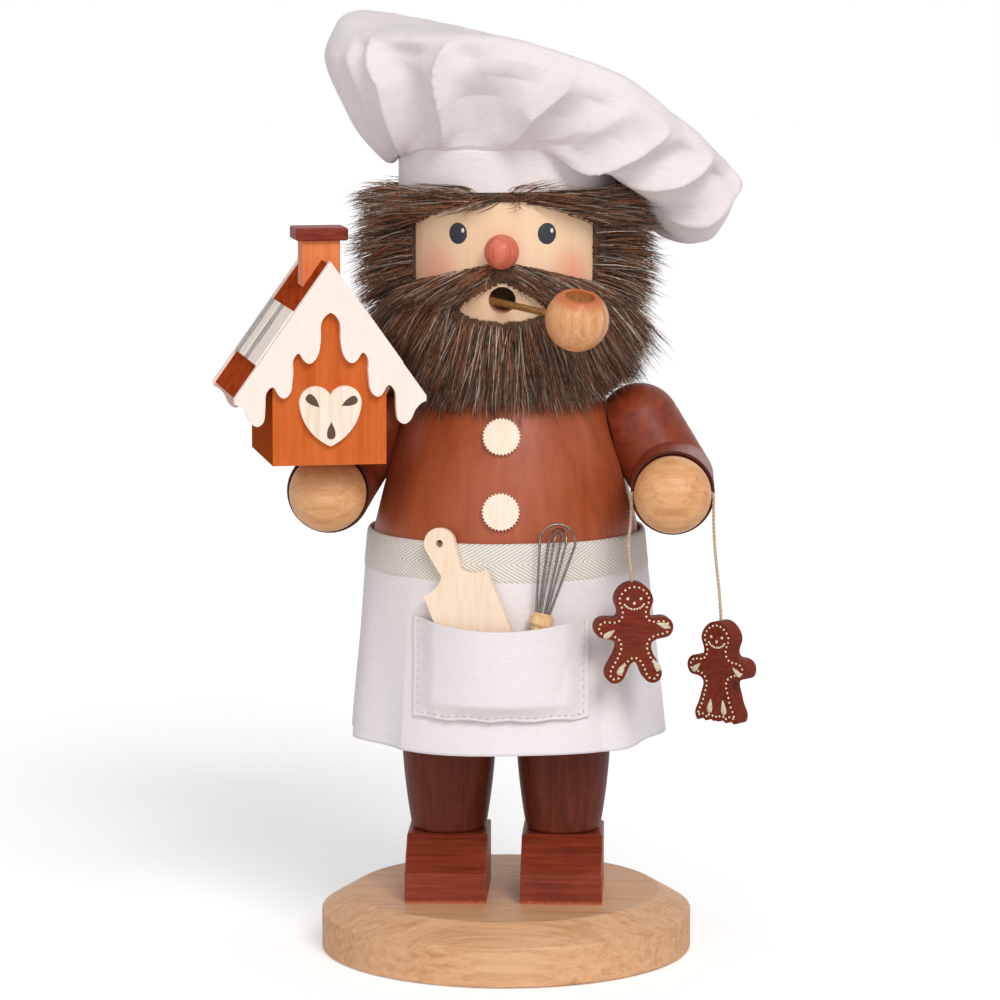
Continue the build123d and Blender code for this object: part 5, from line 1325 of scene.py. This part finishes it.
# ---------------------------------------------------------------- finishes of the wooden pieces
SHOE_X = 17.0
CUP_Y = -41.2
MOUTH = (0, -26, 195.1)
BOWL_MOUTH = (22.6, -51.6, 196.1)
BOWL_AXIS = (0.138, -0.306, 0.942)


def painted_cup_shade(look, colour):
    """Painted shade: a darker bevel round the cup that holds the hand."""
    depth = look.along((0, 1, 0), CUP_Y)
    band = look.times(look.step(depth, 1.5, 2.0, 1.0, 0.0), 0.75)
    return look.mix(band, colour, rgb(56, 20, 10))


def blush_and_mouth_shade(look, colour):
    for point, amount in (((-19.5, -22.8, 203.6), 0.5), ((20.3, -22.1, 202.6), 0.6)):
        spot = look.times(look.near(point, 1.0, 11.0), amount)
        colour = look.mix(spot, colour, rgb(246, 142, 116))
    # Painted shade: the head is darker round the mouth hole
    hollow = look.times(look.near(MOUTH, 2.0, 5.8), 0.15)
    return look.mix(hollow, colour, rgb(190, 140, 100))


def bowl_rim_and_bore_shade(look, colour):
    height = look.along(BOWL_AXIS, float(np.dot(BOWL_AXIS, BOWL_CENTRE)))
    rim = look.step(height, 4.4, 6.9, 0.0, 0.75)
    colour = look.mix(rim, colour, rgb(196, 98, 48))
    # Painted shade: darker in and round the mouth of the bore
    bore_shade = look.times(look.near(BOWL_MOUTH, 3.9, 4.6), 0.55)
    return look.mix(bore_shade, colour, rgb(150, 96, 56))


def shoe_wear(look, colour):
    x, _, z = look.axes()
    off_middle = look.math("SUBTRACT", look.math("ABSOLUTE", x), SHOE_X)
    side = look.math("ABSOLUTE", off_middle)
    rag = look.times(look.noise(look.place, 0.7, 4.0), 1.6)
    edge = look.step(look.plus(side, rag), 12.3, 13.0, 0.0, 0.4)
    colour = look.mix(edge, colour, rgb(206, 120, 82))
    low = look.step(look.math("SUBTRACT", z, rag), 16.6, 17.6, 0.5, 0.0)
    return look.mix(low, colour, rgb(206, 120, 82))


def house_side_shade(look, colour):
    # Painted shade: faces that do not look to the house's front are darker
    side = look.facing(tuple(house_front))
    shade = look.step(side, 0.3, 0.7, 0.62, 0.0)
    return look.mix(shade, colour, rgb(132, 46, 16))


def groove_paint_and_slit_shade(side):
    """Cream panels, grey paint in the wide grooves and painted shade in the slits, told apart by
    depth.
    """
    across = side * cos(PITCH)
    slope_out = house_right * side * sin(PITCH) + house_up * cos(PITCH)
    origin = house_origin + house_up * RIDGE

    def paint(look, colour):
        height = look.along(slope_out, float(origin @ slope_out))
        front = look.facing(tuple(slope_out))
        flat = look.step(front, 0.6, 0.8)
        grey = look.times(look.step(height, 0.7, 0.78, 1.0, 0.0), flat)
        # Painted shade: the slits are dark
        dark = look.times(look.step(height, 0.42, 0.5, 1.0, 0.0), flat)
        colour = look.mix(grey, colour, rgb(158, 150, 146))
        return look.mix(dark, colour, rgb(52, 40, 38))

    return paint


def heart_paint(look, colour):
    height = look.along(house_front, float(house_origin @ house_front))
    flat = look.step(look.facing(tuple(house_front)), 0.6, 0.8)
    brown = look.times(look.step(height, 1.5, 1.62, 1.0, 0.0), flat)
    return look.mix(brown, colour, rgb(96, 64, 50))


# Each wood: name; base, dark and pale colour; grain, flecks, satin, streak, gloss, painter; nodes
WOODS = (
    ("base_beech", (220, 168, 124), (194, 138, 94), (232, 188, 146),
     "X", 0.45, 0.5, 0.5, 0.4, None, "base_disc"),
    ("dowel_beech", (222, 190, 150), (190, 150, 108), (236, 208, 172),
     "Z", 0.35, 0.42, 0.45, 0.4, None, "foot_dowels hip_dowels arm_dowels house_peg"),
    ("shoe_stain", (128, 50, 30), (92, 32, 18), (154, 68, 42),
     "X", 0.45, 0.45, 0.8, 0.25, shoe_wear, "shoe_left shoe_right"),
    ("leg_stain", (104, 44, 28), (76, 30, 18), (124, 58, 36),
     "Z", 0.2, 0.4, 0.4, 0.2, None, "leg_left leg_right hip_block"),
    ("torso_stain", (168, 82, 47), (150, 68, 37), (180, 92, 56),
     "Z", 0.08, 0.4, 0.2, 0.35, None, "torso_shell"),
    ("arm_stain", (132, 54, 30), (104, 38, 20), (150, 68, 38),
     "Y", 0.15, 0.4, 0.3, 0.25, painted_cup_shade,
     "upper_arm_left upper_arm_right forearm_left forearm_right"),
    ("hand_beech", (228, 166, 112), (202, 136, 84), (240, 190, 140),
     "X", 0.3, 0.42, 0.5, 0.4, None, "hand_left hand_right"),
    ("head_maple", (250, 212, 174), (245, 202, 160), (252, 220, 186),
     "Z", 0.06, 0.5, 0.2, 0.4, blush_and_mouth_shade, "head"),
    ("nose_paint", (214, 106, 80), (186, 78, 56), (232, 138, 110),
     "Z", 0.2, 0.4, 0.6, 0.4, None, "nose"),
    ("bowl_beech", (226, 160, 106), (196, 122, 70), (240, 188, 140),
     "Z", 0.55, 0.38, 0.6, 0.4, bowl_rim_and_bore_shade, "pipe_bowl"),
    ("button_maple", (250, 230, 208), (242, 216, 190), (253, 238, 220),
     "Z", 0.05, 0.5, 0.5, 0.4, None, "button_lower button_upper"),
    ("board_maple", (251, 226, 198), (242, 210, 178), (253, 234, 212),
     "Z", 0.08, 0.5, 0.5, 0.4, None, "cutting_board"),
    ("whisk_maple", (232, 190, 140), (206, 156, 104), (244, 212, 170),
     "Z", 0.2, 0.45, 0.7, 0.4, None, "whisk_handle"),
    ("roof_stain", (176, 68, 30), (140, 46, 18), (196, 86, 42),
     "Y", 0.15, 0.5, 0.4, 0.0, None, "house_roof_left house_roof_right"),
    ("cap_stain", (132, 50, 36), (104, 34, 24), (148, 66, 48),
     "X", 0.15, 0.46, 0.5, 0.15, None, "chimney_cap"),
    ("chimney_stain", (238, 134, 80), (222, 112, 58), (244, 154, 102),
     "Z", 0.1, 0.45, 0.5, 0.05, None, "house_chimney"),
    ("gingerbread_stain", (118, 48, 33), (96, 36, 24), (134, 60, 42),
     "X", 0.12, 0.45, 1.1, 0.05, None, "gingerbread_man gingerbread_woman"),
    ("icing_paint", (251, 234, 223), (248, 228, 216), (253, 239, 230),
     "Z", 0.0, 0.5, 0.5, 0.4, None,
     "icing_front_left icing_front_right icing_rear_left icing_rear_right"),
    ("house_stain", (208, 104, 50), (190, 88, 38), (220, 120, 62),
     "Z", 0.06, 0.5, 0.3, 0.0, house_side_shade, "house_body"),
    ("heart_paint", (250, 230, 210), (236, 210, 186), (254, 240, 226),
     "Z", 0.06, 0.5, 0.6, 0.4, heart_paint, "house_heart"),
    ("panel_paint_left", (252, 236, 222), (246, 226, 210), (254, 242, 232),
     "Z", 0.0, 0.5, 0.6, 0.4, groove_paint_and_slit_shade(-1), "roof_panel_left"),
    ("panel_paint_right", (252, 236, 222), (246, 226, 210), (254, 242, 232),
     "Z", 0.0, 0.5, 0.6, 0.4, groove_paint_and_slit_shade(1), "roof_panel_right"),
)
BOARD_SLANT = (0, radians(20), 0)
for name, base, dark, pale, *grading, worn_by in WOODS:
    tilt = BOARD_SLANT if name == "board_maple" else (0, 0, 0)
    material = wood(name, rgb(*base), rgb(*dark), rgb(*pale), *grading, tilt)
    for node in worn_by.split():
        wear(node, material)

steel = Look("whisk_steel", 0.32, 0.5, metallic=1.0)
steel_scratch = steel.noise(steel.stretch((1, 1, 0.2)), 3.0, 3.0)
steel_colour = steel.ramp(steel_scratch, (0.3, rgb(96, 90, 84)), (0.6, rgb(142, 136, 128)))
steel_material = steel.finish(
    steel_colour, steel_scratch, 0.1, 0.02, steel.step(steel_scratch, 0.3, 0.7, 0.26, 0.42)
)
tin = Look("burner_tin", 0.42, 0.5, metallic=1.0)
tin_soot = tin.near((0, 0, 93.0), 3.0, 14.0)
tin_tone = tin.noise(tin.place, 0.6, 4.0)
tin_colour = tin.ramp(tin_tone, (0.3, rgb(150, 148, 144)), (0.7, rgb(192, 190, 186)))
tin_colour = tin.mix(tin.times(tin_soot, 0.55), tin_colour, rgb(70, 60, 52))
tin_material = tin.finish(
    tin_colour, tin_tone, 0.15, 0.05, tin.step(tin_tone, 0.3, 0.7, 0.35, 0.55)
)
brass = Look("stem_brass", 0.4, 0.5, metallic=0.35)
brass_tone = brass.noise(brass.stretch((0.3, 1, 1)), 2.0, 3.0)
brass_colour = brass.ramp(
    brass_tone, (0.3, rgb(112, 72, 36)), (0.5, rgb(158, 110, 58)), (0.7, rgb(190, 142, 84))
)
brass_material = brass.finish(
    brass_colour, brass_tone, 0.15, 0.03, brass.step(brass_tone, 0.3, 0.7, 0.34, 0.5)
)

for node, material in (
    ("burner_plate", tin_material),
    ("burner_nail", tin_material),
    ("pipe_stem", brass_material),
    ("whisk_wires", steel_material),
):
    wear(node, material)

# ---------------------------------------------------------------- stage and light
WHITE = (1, 1, 1, 1)
FLOOR_HALF = 6.0
FLOOR_Z = -0.0002
FLOOR_GLOW = 0.34
AMBIENT = 0.4
# Name, strength, angle of its disc, azimuth and elevation in degrees
LAMPS = (("key", 1.55, 25, 22, 38), ("fill", 0.6, 50, -15, 8))

floor_look = Look("floor_paper", 0.9, 0.1)
floor_tone = floor_look.noise(floor_look.place, 0.02, 2.0)
floor_colour = floor_look.ramp(
    floor_tone, (0.3, (0.94, 0.94, 0.94, 1)), (0.7, (0.95, 0.95, 0.95, 1))
)
floor_look.finish(floor_colour)
floor_path = floor_look.node("ShaderNodeLightPath")
floor_glow = floor_look.times(floor_path.outputs["Is Camera Ray"], FLOOR_GLOW)
floor_look.fill(floor_look.shader, {"Emission Color": WHITE, "Emission Strength": floor_glow})
floor_mesh = bpy.data.meshes.new("floor")
floor_corners = [
    (x * FLOOR_HALF, y * FLOOR_HALF, FLOOR_Z) for x, y in ((-1, -1), (1, -1), (1, 1), (-1, 1))
]
floor_mesh.from_pydata(floor_corners, [], [(0, 1, 2, 3)])
floor_mesh.materials.append(floor_look.material)
floor = bpy.data.objects.new("floor", floor_mesh)
bpy.context.scene.collection.objects.link(floor)

world = bpy.data.worlds.new("studio")
bpy.context.scene.world = world
world.use_nodes = True
tree = world.node_tree
background = tree.nodes["Background"]
background.inputs["Color"].default_value = WHITE
# Seen directly, mirrored or through glass the background is white; as a light it is dimmer
rays = tree.nodes.new("ShaderNodeLightPath")
seen = rays.outputs["Is Camera Ray"]
for kind in ("Is Glossy Ray", "Is Transmission Ray"):
    either = tree.nodes.new("ShaderNodeMath")
    either.operation = "MAXIMUM"
    tree.links.new(seen, either.inputs[0])
    tree.links.new(rays.outputs[kind], either.inputs[1])
    seen = either.outputs[0]
strength = tree.nodes.new("ShaderNodeMapRange")
tree.links.new(seen, strength.inputs[0])
strength.inputs["To Min"].default_value = AMBIENT
strength.inputs["To Max"].default_value = 1.0
tree.links.new(strength.outputs[0], background.inputs["Strength"])

for name, energy, disc, azimuth, elevation in LAMPS:
    lamp = bpy.data.lights.new(name, "SUN")
    lamp.energy = energy
    lamp.angle = radians(disc)
    sun = bpy.data.objects.new(name, lamp)
    bpy.context.scene.collection.objects.link(sun)
    turned, raised = radians(azimuth), radians(elevation)
    toward = Vector((sin(turned) * cos(raised), -cos(turned) * cos(raised), sin(raised)))
    sun.rotation_euler = toward.to_track_quat("Z", "Y").to_euler()

bpy.context.scene.view_settings.view_transform = "Standard"
